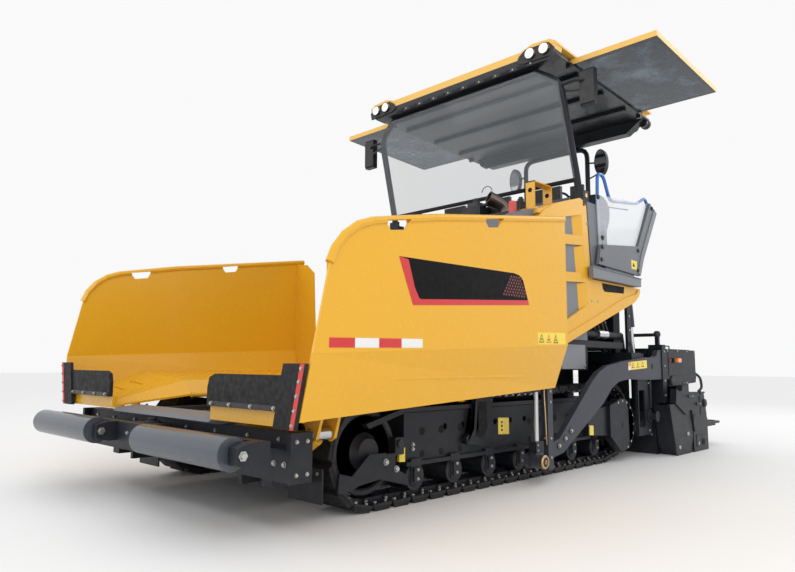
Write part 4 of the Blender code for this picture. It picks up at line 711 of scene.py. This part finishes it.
# ---- hopper
def make_wing_trim(word, side):
    skin = WING_SKIN_X
    piece = Piece(side)
    decal = [(-2.429, 1.51), (-1.3, 1.528), (-1.235, 1.52), (-1.189, 1.49), (-1.118, 1.32), (-2.312, 1.24)]
    piece.film(decal, skin, 0.0008, "black_vinyl")
    piece.film([(-2.312, 1.24), (-1.118, 1.32), (-1.13, 1.353), (-2.327, 1.274)], skin, 0.0014, "red_vinyl")
    piece.film([(-2.429, 1.51), (-2.352, 1.5005), (-2.3, 1.345), (-2.262, 1.285), (-2.2, 1.262),
        (-2.2, 1.2475), (-2.312, 1.24)], skin, 0.0019, "red_vinyl")
    for row in range(7):
        for column in range(9):
            y = -1.42 + column * 0.03 + (row % 2) * 0.015
            z = 1.375 + row * 0.021
            if y < -1.15 - (z - 1.36) * 0.4 and y > -1.43 + (z - 1.36) * 0.55:
                piece.film(arc((y, z), 0.0095, 0, 300, 5), skin, 0.0012, "maroon")
    for i in range(4):
        y0 = -2.93 + i * 0.175
        z0 = 0.985 + i * 0.0034
        piece.film([(y0, z0), (y0 + 0.174, z0 + 0.003), (y0 + 0.174, z0 + 0.054), (y0, z0 + 0.051)], skin,
            0.001, "red_vinyl" if i % 2 == 0 else "white_vinyl")
    sticker = [(-1.012, 1.048), (-0.638, 1.058), (-0.64, 1.143), (-1.015, 1.133)]
    piece.film(sticker, skin, 0.001, "yellow_vinyl")
    for i in range(3):
        y = -0.965 + i * 0.095
        piece.warning(skin, 0.0016, y, 1.062, 0.034, (0.064, 0.053),
            "black_vinyl" if i != 1 else "red_vinyl")
        piece.rod((skin, y, 1.085), (skin + 0.0026, y, 1.085), 0.008, "black_vinyl", 10)
    piece.finish(f"{word}_wing_decals", f"{word}_hopper_wing")

    trim = Piece(side)
    face = FLAP_FRONT_Y
    strip = [(1.497, 0.577), (1.528, 0.577), (1.608, 0.903), (1.574, 0.903)]
    trim.prism(strip, "Y", face - 0.004, face, "red")
    for t in (0.07, 0.29, 0.51, 0.73, 0.93):
        x, z = 1.5125 + 0.0785 * t, 0.577 + 0.326 * t
        trim.bolt((x, face - 0.004, z), FORWARD, 0.009)
    trim.box(0.7, 1.4, face + 0.006, face + 0.012, 0.662, 0.69, "black")
    for x in (0.74, 0.93, 1.14, 1.35):
        trim.bolt((x, face + 0.006, 0.676), FORWARD, 0.01)
    trim.finish(f"{word}_flap_trim", f"{word}_hopper_wing", 0.001, 1)

    lugs = Piece(side)
    for y in (-2.735, -2.605):
        lugs.turned((1.25, y + (0 if y < -2.7 else 0.02), 0.515), (0, -1 if y < -2.7 else 1, 0),
            [(0, 0.03), (0.01, 0.03), (0.012, 0.024)], "plated", 16)
    lugs.finish(f"{word}_wing_fittings", f"{word}_hopper_wing", 0.001, 1)


def make_front_trim():
    piece = Piece()
    for side in (-1, 1):
        for x in (0.2, 0.55, 0.9, 1.2):
            piece.bolt((side * x, -2.916, 0.5), FORWARD, 0.01)
        for x in (1.22, 1.31):
            piece.bolt((side * x, -2.956, 0.38), FORWARD, 0.013)
        for y in (-2.93, -2.86):
            for z in (0.33, 0.5):
                piece.bolt((side * 1.377, y, z), (side, 0, 0), 0.009)
        for x in (0.88, 1.0, 1.12):
            piece.bolt((side * x, -2.58, 0.27), FORWARD, 0.009)
        route = [(side * 0.62, -2.8, 0.6), (side * 0.66, -2.75, 0.45), (side * 0.7, -2.7, 0.28)]
        piece.hose(route, 0.05, 0.01, "hose", 8)
    piece.finish("front_beam_trim", "tractor")

    bar = Piece()
    for side in (-1, 1):
        for x, way in ((1.4, 1), (0.264, -1)):
            bar.turned((side * x, *ROLLER_CENTRE), (side * way, 0, 0), [(0, 0.026), (0.006, 0.026),
                (0.006, 0.018), (0.016, 0.016)], "plated", 6)
        for x in (0.09, 0.62, 1.02):
            bar.bolt((side * x, -3.171, 0.455), FORWARD, 0.01)
    bar.turned((0, -3.05, 0.52), UPWARD, [(0, 0.05), (0.008, 0.05), (0.01, 0.04)], "iron", 24)
    bar.finish("push_bar_trim", "push_bar")

    floor = Piece()
    for i in range(24):
        y = -2.7 + i * 0.165
        for x in (-0.28, 0.28):
            floor.box(x - 0.2, x + 0.2, y, y + 0.035, 0.502, 0.548, "steel")
    for x in (-0.505, -0.055, 0.055, 0.505):
        for i in range(66):
            y = -2.72 + i * 0.06
            floor.box(x - 0.012, x + 0.012, y, y + 0.045, 0.505, 0.556, "iron")
    floor.finish("conveyor_chain", "tractor")

    wall = Piece()
    for x in (-0.5, 0.0, 0.5):
        for z in (1.25, 1.7):
            wall.bolt((x, REAR_WALL_Y, z), FORWARD, 0.011)
    wall.box(-0.5, 0.5, REAR_WALL_Y - 0.0035, REAR_WALL_Y, 1.085, 1.11, "yellow")
    wall.finish("rear_wall_trim", "tractor")


# ---- body
def make_body_side(word, side):
    skin = BODY_SKIN_X
    piece = Piece(side)
    flange = [(-0.36, 2.17), (-0.36, 2.205), (-0.098, 2.3), (0.322, 2.422), (0.385, 2.408), (0.43, 2.362),
        (0.435, 2.3), (0.2, 2.3)]
    piece.prism(flange, "X", 0.86, skin - 0.012, "yellow")
    ridge = [(-0.57, 0.893), (0.046, 1.1), (0.572, 1.28), (1.352, 1.535), (1.455, 1.602), (1.49, 1.668),
        (1.435, 1.668), (1.39, 1.62), (1.132, 1.562), (0.551, 1.352), (0.03, 1.17), (-0.57, 0.985)]
    piece.prism(ridge, "X", skin - 0.002, skin + 0.012, "yellow")
    piece.film([(-0.538, 2.1), (-0.534, 2.096), (-0.4, 2.113), (-0.4, 2.119)], skin, 0.001, "void")
    piece.finish(f"{word}_panel_ridges", "tractor")

    trim = Piece(side)
    trim.film([(0.69, 1.672), (1.15, 1.672), (1.135, 1.606), (0.739, 1.593), (0.705, 1.62)], skin, 0.0012,
        "black_vinyl")
    for y, z in ((0.487, 1.49), (0.601, 1.492), (0.43, 2.2), (-0.28, 1.2), (-0.45, 1.95)):
        trim.turned((skin, y, z), OUTWARD, [(0, 0.012), (0.004, 0.011), (0.007, 0.006)], "plated", 14)
    trim.box(1.12, 1.197, 0.03, 0.44, 0.871, 1.086, "slate")
    trim.box(1.12, 1.15, 0.44, 0.47, 0.871, 1.15, "dark")
    for y in (0.42, 0.425):
        trim.bolt((1.197, y, 0.9), OUTWARD, 0.009)
    # A near-black sheet behind the engine bay: painted shade.
    trim.box(0.95, 0.97, 0.47, 1.32, 1.13, 1.68, "void")
    trim.box(0.95, 1.1, 1.2, 1.32, 1.13, 1.6, "dark")
    trim.rod((1.1, 0.62, 1.2), (1.1, 1.34, 1.2), 0.035, "iron", 16)
    trim.rod((1.12, 0.8, 1.2), (1.12, 0.98, 1.2), 0.045, "steel", 16)
    trim.rod((1.05, 0.66, 1.33), (1.05, 1.1, 1.33), 0.022, "steel", 14)
    for i in range(7):
        y = 0.56 + i * 0.085
        route = [(1.08, y, 1.66), (1.1, y + 0.03, 1.5), (1.07 + 0.01 * (i % 3), y - 0.04, 1.38),
            (1.09, y + 0.02, 1.24)]
        trim.hose(route, 0.08, 0.011 + 0.002 * (i % 2), "hose", 8)
        trim.rod((1.08, y, 1.6), (1.08, y, 1.65), 0.016, "steel", 10)
    # Larger holes get a near-black centre: painted shade for the inside of the hole.
    for z, r in ((1.62, 0.012), (1.52, 0.018), (1.4, 0.012), (1.26, 0.012), (1.12, 0.022)):
        trim.rod((1.184, 1.37, z), (1.187, 1.37, z), r + 0.008, "iron", 16)
        trim.rod((1.187, 1.37, z), (1.189, 1.37, z), r, "void" if r > 0.015 else "plated", 14)
    # A near-black sheet that closes a see-through gap: painted shade.
    trim.box(0.6, 1.16, 1.366, 1.376, 0.45, 0.93, "void")
    for i in range(4):
        y = 1.345 + 0.012 * i
        route = [(1.02 - 0.03 * i, y, 1.62), (1.05 - 0.03 * i, 1.42 + 0.02 * i, 1.4),
            (1.0 - 0.03 * i, 1.43 + 0.02 * i, 1.15), (1.02 - 0.04 * i, 1.38, 1.02)]
        trim.hose(route, 0.1, 0.012, "hose", 8)
    trim.finish(f"{word}_body_trim", "tractor", 0.001, 1)

    glazing = Piece(side)
    glazing.box(1.222, 1.226, -0.06, 0.42, 1.24, 2.31, "cabinet")
    for low, low_edge, high, high_edge in (
            ((0.217, 2.04), (0.352, 2.073), (0.193, 2.236), (0.337, 2.272)),
            ((0.252, 1.712), (0.387, 1.733), (0.223, 1.955), (0.362, 1.987)),
            ((0.285, 1.385), (0.407, 1.448), (0.263, 1.63), (0.397, 1.652))):
        ends = ((low, low_edge), (high, high_edge))
        bevel = [[(1.227, *start), (1.2495, *edge), (1.227, edge[0] + 0.01, edge[1])] for start, edge in ends]
        glazing.rings(bevel, "yellow")
    glazing.prism([(1.227, 1.262), (1.2495, 1.262), (1.2495, 1.266), (1.227, 1.3)], "Y", -0.06, 0.1,
        "yellow")
    for z in (1.695, 2.025):
        glazing.box(1.227, 1.249, -0.055, 0.37, z - 0.006, z + 0.006, "yellow")
    glazing.finish(f"{word}_panel_windows", "tractor")

    guard = Piece(side)
    outer = GUARD_FACE_X
    guard.prism([(0.412, 1.8), (1.405, 1.775), (1.4, 1.69), (0.416, 1.694)], "X", 1.266, outer + 0.012,
        "slate")
    guard.film([(0.412, 1.8), (1.405, 1.775), (1.4, 1.768), (0.416, 1.792)], outer, 0.022, "slate")
    guard.film([(1.409, 1.805), (1.5, 1.99), (1.861, 2.522), (1.8, 2.56), (1.44, 2.02), (1.36, 1.83)],
        outer, 0.008, "slate")
    for y, z in ((0.6, 1.88), (1.36, 1.86), (0.62, 2.0), (1.38, 2.06), (1.75, 2.56)):
        guard.turned((outer, y, z), OUTWARD, [(0, 0.02), (0.01, 0.02), (0.014, 0.014)], "black", 16)
    for y, z in ((0.618, 2.481), (0.684, 2.1)):
        guard.turned((GUARD_GLASS_X, y, z), OUTWARD, [(0, 0.022), (0.012, 0.022), (0.018, 0.014)],
            "black", 16)
    guard.film([(1.22, 1.86), (1.345, 1.857), (1.345, 1.945), (1.22, 1.95)], outer, 0.001, "yellow_vinyl")
    guard.film([(1.245, 1.885), (1.295, 1.883), (1.27, 1.93)], outer, 0.0016, "black_vinyl")
    wire = [(outer - 0.02, y, z) for y, z in ((1.409, 1.805), (1.507, 2.0), (1.861, 2.522), (1.718, 2.611))]
    guard.hose(wire, 0.05, 0.006, "black", 8)
    route = [(1.24, 0.6, 1.8), (1.24, 0.6, 2.2), (1.24, 0.75, 2.42), (1.24, 1.3, 2.48)]
    guard.hose(route, 0.12, 0.007, "black", 8)
    guard.finish(f"{word}_guard_trim", "tractor", 0.002, 2)


def make_hood_trim():
    piece = Piece()
    piece.prism([(-0.435, 2.192), (-0.435, 2.214), (-0.16, 2.276), (-0.16, 2.252)], "X", -0.84, 0.955,
        "mesh")
    piece.box(0.98, 1.03, -0.42, -0.375, 2.17, 2.3, "red")
    for y in (0.03, 0.32):
        piece.box(0.86, 0.955, y, y + 0.012, 2.33, 2.585, "yellow")
        # The near-black disc is painted shade for a hole in the plate.
        piece.rod((0.907, y - 0.001, 2.5), (0.907, y + 0.013, 2.5), 0.022, "void", 18)
    piece.box(0.86, 0.955, 0.03, 0.332, 2.573, 2.585, "yellow")
    piece.rod((0.9, 0.18, 2.585), (0.9, 0.18, 2.6), 0.018, "plated", 12)
    for side in (-1, 1):
        foot = sorted((side * 1.12, side * 1.255))
        piece.box(*foot, 0.375, 0.4, 2.36, 2.56, "dark")
        piece.rod((side * 1.236, 0.45, 2.47), (side * 1.246, 0.45, 2.47), 0.022, "brass", 16)
    piece.box(0.3, 0.52, -0.22, 0.02, 2.27, 2.38, "iron")
    piece.boxes("black", (0.34, 0.46, -0.18, -0.04, 2.38, 2.43), (0.52, 0.62, -0.05, 0.12, 2.28, 2.4))
    piece.box(0.74, 0.83, -0.02, 0.14, 2.3, 2.41, "iron")
    for x, y, z, r in ((0.4, -0.11, 2.43, 0.035), (0.57, 0.03, 2.4, 0.028), (0.785, 0.06, 2.41, 0.03)):
        piece.turned((x, y, z), UPWARD, [(0, r), (0.03, r), (0.035, r * 0.7), (0.05, r * 0.65)], "iron", 18)
    route = [(0.46, -0.1, 2.34), (0.55, -0.18, 2.4), (0.64, -0.02, 2.36), (0.76, 0.04, 2.38)]
    piece.hose(route, 0.1, 0.018, "hose", 10)
    turns = [math.radians(10 + 16 * i) for i in range(11)]
    loop = [(0.56 + 0.06 * math.cos(a), -0.16, 2.5 + 0.06 * math.sin(a)) for a in turns]
    piece.tube(loop, 0.004, "black", 6)
    piece.turned((0.3, 0.33, 2.36), UPWARD, [(0, 0.05), (0.04, 0.05), (0.05, 0.03)], "black", 20)
    for i in range(14):
        x = -1.05 + i * 0.115
        piece.film([(0.24, 2.345), (0.4, 2.372), (0.4, 2.38), (0.24, 2.353)], x, 0.03, "black")
    piece.finish("hood_trim", "tractor", 0.002, 2)

    mouth = Piece()
    tip, bend = Vector((0.62, -0.21, 2.44)), Vector((0.7, -0.06, 2.37))
    out = (tip - bend).normalized()
    mouth.ring(tip - out * 0.006, tip + out * 0.003, 0.058, 0.0465, "chrome", 24)
    # Inside the pipe: a near-black disc and lining, painted shade.
    mouth.rod(tip - out * 0.098, tip - out * 0.09, 0.046, "void", 20)
    mouth.ring(tip - out * 0.09, tip - out * 0.006, 0.0472, 0.0455, "void", 24)
    mouth.finish("exhaust_mouth", "tractor")


# ---- canopy
def roof_z(y, drop=0.0):
    return ROOF_TOP_Z - ROOF_SLOPE * (y - ROOF_FRONT_Y) - drop


def make_canopy_trim():
    piece = Piece()
    front, rear = ROOF_FRONT_Y, ROOF_REAR_Y
    for side in (-1, 1):
        for x in (0.955, 1.105):
            z = roof_z(front, 0.085)
            piece.turned((side * x, front - 0.0255, z), FORWARD, [(0, 0.056), (0.004, 0.056),
                (0.006, 0.05)], "black", 28)
            piece.turned((side * x, front - 0.0315, z), FORWARD, [(0, 0.048), (0.003, 0.047),
                (0.008, 0.03)], "lens", 28)
        housing = [(side * 0.86, 3.715), (side * 1.19, 3.705), (side * 1.205, 3.775), (side * 1.15, 3.838),
            (side * 0.9, 3.846), (side * 0.83, 3.8), (side * 0.8, 3.745)]
        piece.prism(housing, "Y", front - 0.014, front + 0.004, "black")
        for x in (0.98, 1.12):
            z = roof_z(rear, 0.14)
            piece.turned((side * x, rear + 0.0705, z), (0, 1, 0), [(0, 0.048), (0.004, 0.046),
                (0.01, 0.03)], "lens", 24)
            piece.ring((side * x, rear + 0.03, z), (side * x, rear + 0.068, z), 0.056, 0.0505, "black", 24)
        for y in (0.34, 1.83):
            z = roof_z(y, 0.134)
            low, high = sorted((side * 1.14, side * 1.19))
            piece.box(low, high, y - 0.02, y + 0.02, z - 0.03, z - 0.001, "black")
    for i in range(9):
        x = -0.8 + i * 0.2
        piece.box(x, x + 0.1, front - 0.01, front - 0.0022, 3.69, 3.716, "dark")
        piece.bolt((x + 0.15, front - 0.0022, 3.7), FORWARD, 0.008, "plated")
    for y in (0.55, 1.05, 1.55):
        z = roof_z(y, 0.1343)
        piece.box(-1.14, 1.14, y - 0.02, y + 0.02, z - 0.03, z, "dark")
    piece.finish("canopy_trim", "tractor", 0.002, 2)

    for word, side in SIDES:
        film = Piece(side)
        for y in (0.38, 1.77):
            top = roof_z(y, 0.064)
            film.box(1.26, 1.985, y, y + 0.022, top - 0.0008, top + 0.005, "plated")
        film.finish(f"{word}_extension_rails", f"{word}_canopy_extension")


def make_mirrors():
    piece = Piece()
    for side in (-1, 1):
        face = [(side * 1.36, 3.235), (side * 1.48, 3.235), (side * 1.48, 3.545), (side * 1.36, 3.545)]
        piece.prism(face, "Y", 0.2502, 0.2512, "mirror")
        rim = sorted((side * 1.35, side * 1.49))
        piece.box(*rim, 0.18, 0.192, 3.24, 3.54, "black")
        route = [(side * 1.19, 0.18, 3.42), (side * 1.28, 0.16, 3.38), (side * 1.4, 0.2, 3.38)]
        piece.hose(route, 0.05, 0.01, "black", 8)
        centre = (side * MIRROR_X, MIRROR_Z)
        oval = [(x, centre[1] + (z - centre[1]) * 2.0) for x, z in arc(centre, 0.07, 0, 348, 29)]
        piece.prism(oval, "Y", 2.0082, 2.0098, "mirror")
        route = [(side * 0.43, 2.02, 3.1), (side * 0.54, 2.03, 3.14), (side * 0.6, 2.055, 3.2)]
        piece.hose(route, 0.05, 0.009, "black", 8)
    piece.finish("mirrors", "tractor", 0.002, 2)


# ---- operator station
def cushion(piece, centre, size, material, crown=0.25, power=3.4, rows=14, columns=28, lean=0.0):
    """A stuffed pad: a closed, crowned form with soft sides."""
    tilt = Matrix.Rotation(math.radians(lean), 3, "X")
    rings = []
    for i in range(1, rows):
        a = -math.pi / 2 + math.pi * i / rows
        height = math.copysign(abs(math.sin(a)) ** (2 / 2.4), math.sin(a))
        width = abs(math.cos(a)) ** (2 / power)
        ring = []
        for j in range(columns):
            b = 2 * math.pi * j / columns
            x = math.copysign(abs(math.cos(b)) ** (2 / power), math.cos(b)) * width
            y = math.copysign(abs(math.sin(b)) ** (2 / power), math.sin(b)) * width
            lift = crown * (1 - x * x) * (1 - y * y) * height
            point = Vector((x * size[0], y * size[1], (height + lift) * size[2] / (1 + crown)))
            ring.append(Vector(centre) + tilt @ point)
        rings.append(ring)
    piece.rings(rings, material)


def make_seats():
    floor = PLATFORM_TOP
    for word, side in SIDES:
        x = SEAT_X
        piece = Piece(side)
        piece.box(x - 0.15, x + 0.15, 1.0, 1.28, floor, floor + 0.05, "black")
        for i in range(6):
            z = floor + 0.05 + i * 0.035
            piece.box(x - 0.13, x + 0.13, 1.02, 1.26, z, z + 0.026, "rubber")
        piece.box(x - 0.21, x + 0.21, 0.93, 1.33, floor + 0.265, floor + 0.31, "black")
        for way in (-1, 1):
            xx = x + way * 0.235
            piece.box(xx - 0.018, xx + 0.018, 1.2, 1.26, floor + 0.3, floor + 0.56, "black")
        made = piece.finish(f"{word}_seat_base", "tractor", 0.006, 2)
        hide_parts(f"{word}_seat")

        pads = Piece(side)
        cushion(pads, (x, 1.12, floor + 0.37), (0.235, 0.225, 0.075), "fabric", 0.3)
        pads.finish(f"{word}_seat_cushion", "tractor", angle=60)
        back = Piece(side)
        cushion(back, (x, 1.37, floor + 0.68), (0.225, 0.062, 0.275), "fabric", 0.15, 3.0, lean=-8)
        back.finish(f"{word}_seat_back", "tractor", angle=60)
        rests = Piece(side)
        for way in (-1, 1):
            cushion(rests, (x + way * 0.235, 1.13, floor + 0.57), (0.035, 0.155, 0.028), "fabric", 0.1)
        rests.finish(f"{word}_armrests", "tractor", angle=60)


def make_console():
    piece = Piece()
    for x in (-0.62, 0.0, 0.62):
        piece.box(x - 0.15, x + 0.15, 0.8, 0.84, 2.545, 2.72, "black")
        piece.box(x - 0.135, x + 0.135, 0.84, 0.8415, 2.56, 2.705, "void")
        piece.rod((x, 0.82, 2.49), (x, 0.82, 2.56), 0.018, "black", 12)
    for x in (-0.78, -0.46, 0.34, 0.8):
        piece.rod((x, 0.93, 2.47), (x, 0.93, 2.58), 0.008, "steel", 10)
        piece.turned((x, 0.93, 2.57), UPWARD, [(0, 0.012), (0.02, 0.024), (0.045, 0.024), (0.06, 0.012)],
            "black", 16)
    for i in range(12):
        piece.rod((-0.33 + i * 0.06, 0.955, 2.462), (-0.33 + i * 0.06, 0.962, 2.476), 0.011,
            "red" if i == 4 else "black", 12)
    turns = [2 * math.pi * i / 32 for i in range(33)]
    wheel = [(0.62 + 0.15 * math.cos(a), 1.0 + 0.02 * math.sin(a), 2.56 + 0.15 * math.sin(a)) for a in turns]
    piece.tube(wheel, 0.013, "black", 10)
    piece.rod((0.62, 1.0, 2.56), (0.62, 0.9, 2.46), 0.022, "black", 14)
    for way in (-1, 0, 1):
        piece.rod((0.62, 1.0, 2.56), (0.62 + way * 0.14, 1.0, 2.56 - (0.14 if way == 0 else 0)), 0.011,
            "black", 8)
    for x in (-0.9, 0.9):
        piece.box(x - 0.1, x + 0.1, 0.72, 0.86, 1.8, 2.2, "slate")
    piece.finish("console_trim", "tractor", 0.003, 2)


# ---- tow gear and screed
def make_tow_trim(word, side):
    point = Piece(side)
    x, y, z = TOW_ROLLER_FACE_X, TOW_POINT_Y, TOW_POINT_Z
    point.turned((x, y, z), OUTWARD, [(0, 0.052), (0.004, 0.052), (0.01, 0.046), (0.01, 0.036),
        (0.004, 0.034)], "brass", 30)
    point.rod((x + 0.003, y, z), (x + 0.008, y, z), 0.032, "iron", 24)
    point.rod((x + 0.008, y, z), (x + 0.012, y, z), 0.016, "brass", 18)
    point.rod((x + 0.012, y, z), (x + 0.014, y, z), 0.009, "red", 14)
    point.box(1.338, 1.402, y - 0.053, y + 0.053, 0.245, 0.325, "dark")
    for zz in (0.265, 0.305):
        point.bolt((1.402, y - 0.03, zz), OUTWARD, 0.007)
    point.finish(f"{word}_tow_roller_trim", "tow_points", 0.001, 1)

    post = Piece(side)
    for zz in (0.2, 0.345, 0.62, 0.7):
        post.bolt((1.385, -0.566, zz), FORWARD, 0.008)
        post.bolt((TOW_POST_FACE_X, -0.53, zz), OUTWARD, 0.008)
    route = [(1.4, -0.6, 0.86), (1.415, -0.618, 0.7), (1.418, -0.606, 0.5), (1.412, -0.59, 0.36),
        (1.405, -0.575, 0.3)]
    post.hose(route, 0.08, 0.005, "brass", 8)
    post.ring((TOW_ROD_X, TOW_POINT_Y, 0.715), (TOW_ROD_X, TOW_POINT_Y, 0.93), 0.0352, 0.0335, "steel", 28)
    post.turned((TOW_ROD_X, TOW_POINT_Y, 0.935), UPWARD, [(0, 0.03), (0.012, 0.028), (0.016, 0.016),
        (0.03, 0.014)], "plated", 18)
    post.finish(f"{word}_tow_post_trim", "tractor")

    arm = Piece(side)
    face = TOW_ARM_FACE_X
    for yy, zz in ((-0.284, 0.262), (-0.186, 0.312), (-0.092, 0.367)):
        arm.turned((face, yy, zz), OUTWARD, [(0, 0.026), (0.003, 0.026), (0.003, 0.02)], "iron", 18)
        arm.bolt((face + 0.003, yy, zz), OUTWARD, 0.014)
    arm.film([(1.055, 0.862), (1.41, 0.88), (1.405, 0.958), (1.055, 0.938)], face, 0.0012, "yellow_vinyl")
    arm.film([(1.0, 0.858), (1.05, 0.862), (1.05, 0.9), (1.0, 0.896)], face, 0.0012, "white_vinyl")
    # The amber film glows a little from its material: a painted glow on a reflector that is no lamp.
    arm.film([(1.0, 0.896), (1.05, 0.9), (1.05, 0.938), (1.0, 0.934)], face, 0.0012, "amber")
    for i in range(3):
        yy = 1.1 + i * 0.105
        arm.warning(face, 0.0018, yy, 0.88 + i * 0.005, 0.03, (0.055, 0.044), "black_vinyl", 0.003)
    # A near-black slot in the arm: painted shade.
    arm.box(face, face + 0.0015, 1.52, 1.545, 0.87, 0.92, "void")
    arm.finish(f"{word}_tow_arm_trim", "screed", 0.0, 1)

    stub = Piece(side)
    stub.turned((HANGER_FACE_X, *AUGER_AXIS), OUTWARD,
        [(0, 0.06), (0.01, 0.06), (0.01, 0.034), (0.07, 0.032),
        (0.074, 0.052), (0.088, 0.054), (0.092, 0.046)], "iron", 26)
    for yy, zz in ((1.3, 0.26), (1.3, 0.5), (1.3, 0.73), (1.55, 0.73), (1.55, 0.26)):
        stub.bolt((HANGER_FACE_X, yy, zz), OUTWARD, 0.01)
    stub.boxes("dark", (HANGER_FACE_X, 1.29, 1.285, 1.302, 0.225, 0.765),
        (HANGER_FACE_X, 1.29, 1.56, 1.598, 0.48, 0.765))
    stub.finish(f"{word}_auger_hanger_trim", "tractor", 0.001, 1)


def make_screed_trim():
    piece = Piece()
    for side in (-1, 1):
        post = sorted((side * 1.262, side * 1.3))
        piece.box(*post, 1.785, 1.825, 1.12, 1.205, "dark")
        piece.turned((side * 1.281, 1.805, 1.205), UPWARD, [(0, 0.03), (0.02, 0.036), (0.05, 0.03),
            (0.06, 0.016)], "iron", 20)
        piece.rod((side * 1.281, 1.805, 1.225), (side * 0.98, 1.805, 1.225), 0.018, "iron", 14)
        for z in (0.6, 0.75, 0.9, 1.05):
            piece.bolt((side * 1.345, 1.805, z), (side, 0, 0), 0.01)
        for x in (1.13, 1.2):
            piece.rod((side * x, 1.764, 0.7), (side * x, 1.755, 0.7), 0.022, "iron", 16)
        for z in (0.2, 0.36, 0.5):
            piece.bolt((side * 1.2, 1.7645, z), FORWARD, 0.01)
            piece.bolt((side * 0.55, 1.7645, z), FORWARD, 0.01)
        route = [(side * 0.9, 1.84, 1.06), (side * 0.86, 1.88, 1.25), (side * 0.8, 1.95, 1.12),
            (side * 0.76, 2.02, 0.9)]
        piece.hose(route, 0.1, 0.014, "hose", 10)
    piece.box(-1.2, 1.2, 1.795, 1.85, 1.062, 1.085, "dark")
    piece.finish("screed_trim", "screed", 0.002, 2)

    for word, side in SIDES:
        box = Piece(side)
        face = SCREED_BOX_FACE_X
        box.box(face, face + 0.004, 1.92, 2.6, 0.8, 1.045, "dark")
        for y in (1.9, 2.16, 2.42, 2.62):
            box.bolt((face, y, 1.062), OUTWARD, 0.009)
        for y in (2.0, 2.28, 2.5):
            box.bolt((face, y, 0.778), OUTWARD, 0.009)
        box.box(face + 0.004, face + 0.02, 2.02, 2.06, 0.935, 0.985, "black")
        box.box(face + 0.006, face + 0.05, 2.06, 2.15, 0.94, 0.982, "amber")
        box.rod((face + 0.004, 1.965, 0.962), (face + 0.01, 1.965, 0.962), 0.012, "red", 14)
        lid = [(1.9, 0.69), (2.62, 0.72), (2.655, 0.81), (2.0, 0.8), (1.93, 0.76)]
        box.prism(lid, "X", 1.31, face + 0.012, "dark")
        box.turned((face + 0.012, 1.95, 0.735), OUTWARD, [(0, 0.034), (0.012, 0.034), (0.016, 0.022)],
            "iron", 20)
        for y, z in ((1.99, 0.725), (2.13, 0.585), (2.34, 0.5), (2.46, 0.615)):
            box.rod((END_PLATE_FACE_X, y, z), (1.5, y, z + 0.004), 0.01, "plated", 12)
            box.rod((END_PLATE_FACE_X, y, z), (1.462, y, z), 0.02, "iron", 14)
        for y, z in ((1.87, 0.56), (2.1, 0.2), (1.87, 0.08), (2.38, 0.08)):
            box.turned((1.44, y, z), OUTWARD, [(0, 0.022), (0.01, 0.02), (0.014, 0.01)], "plated", 16)
        # Near-black boxes in the end plate: painted shade for its openings.
        for y0, y1, z0, z1 in ((2.4, 2.44, 0.52, 0.58), (2.42, 2.45, 0.38, 0.47), (2.47, 2.53, 0.06, 0.12)):
            box.box(END_PLATE_FACE_X, 1.4565, y0, y1, z0, z1, "void")
        box.box(1.445, 1.45, 2.32, 2.6, 0.05, 0.17, "iron")
        box.turned((END_PLATE_FACE_X, 2.56, 0.5), OUTWARD, [(0, 0.045), (0.012, 0.045), (0.012, 0.03),
            (0.02, 0.028)], "iron", 22)
        box.turned((END_PLATE_FACE_X, 2.26, 0.36), OUTWARD, [(0, 0.04), (0.004, 0.04), (0.004, 0.02)],
            "iron", 22)
        route = [(1.36, 2.66, 0.62), (1.38, 2.72, 0.66), (1.36, 2.74, 0.78), (1.3, 2.67, 0.84)]
        box.hose(route, 0.05, 0.014, "iron", 10)
        for i in range(9):
            y = 2.74 + i * 0.066
            box.box(0.05, 1.3, y, y + 0.028, 0.262, 0.27, "mesh")
        for x in (0.1, 0.5, 0.9, 1.28):
            box.box(x - 0.012, x + 0.012, 2.7, 3.34, 0.205, 0.235, "dark")
        box.box(0.66, 1.3, 1.95, 2.6, 1.075, 1.082, "dark")
        for x in (0.72, 1.24):
            route = [(x, 2.05, 1.082), (x, 2.05, 1.115), (x, 2.2, 1.115), (x, 2.2, 1.082)]
            box.hose(route, 0.02, 0.007, "black", 8)
        box.finish(f"{word}_screed_end_trim", f"{word}_screed_extension", 0.0015, 1)


for word, side in SIDES:
    make_track(word, side)
    make_undercarriage(word, side)
    make_wing_trim(word, side)
    make_body_side(word, side)
    make_tow_trim(word, side)
make_front_trim()
make_hood_trim()
make_canopy_trim()
make_mirrors()
make_seats()
make_console()
make_screed_trim()
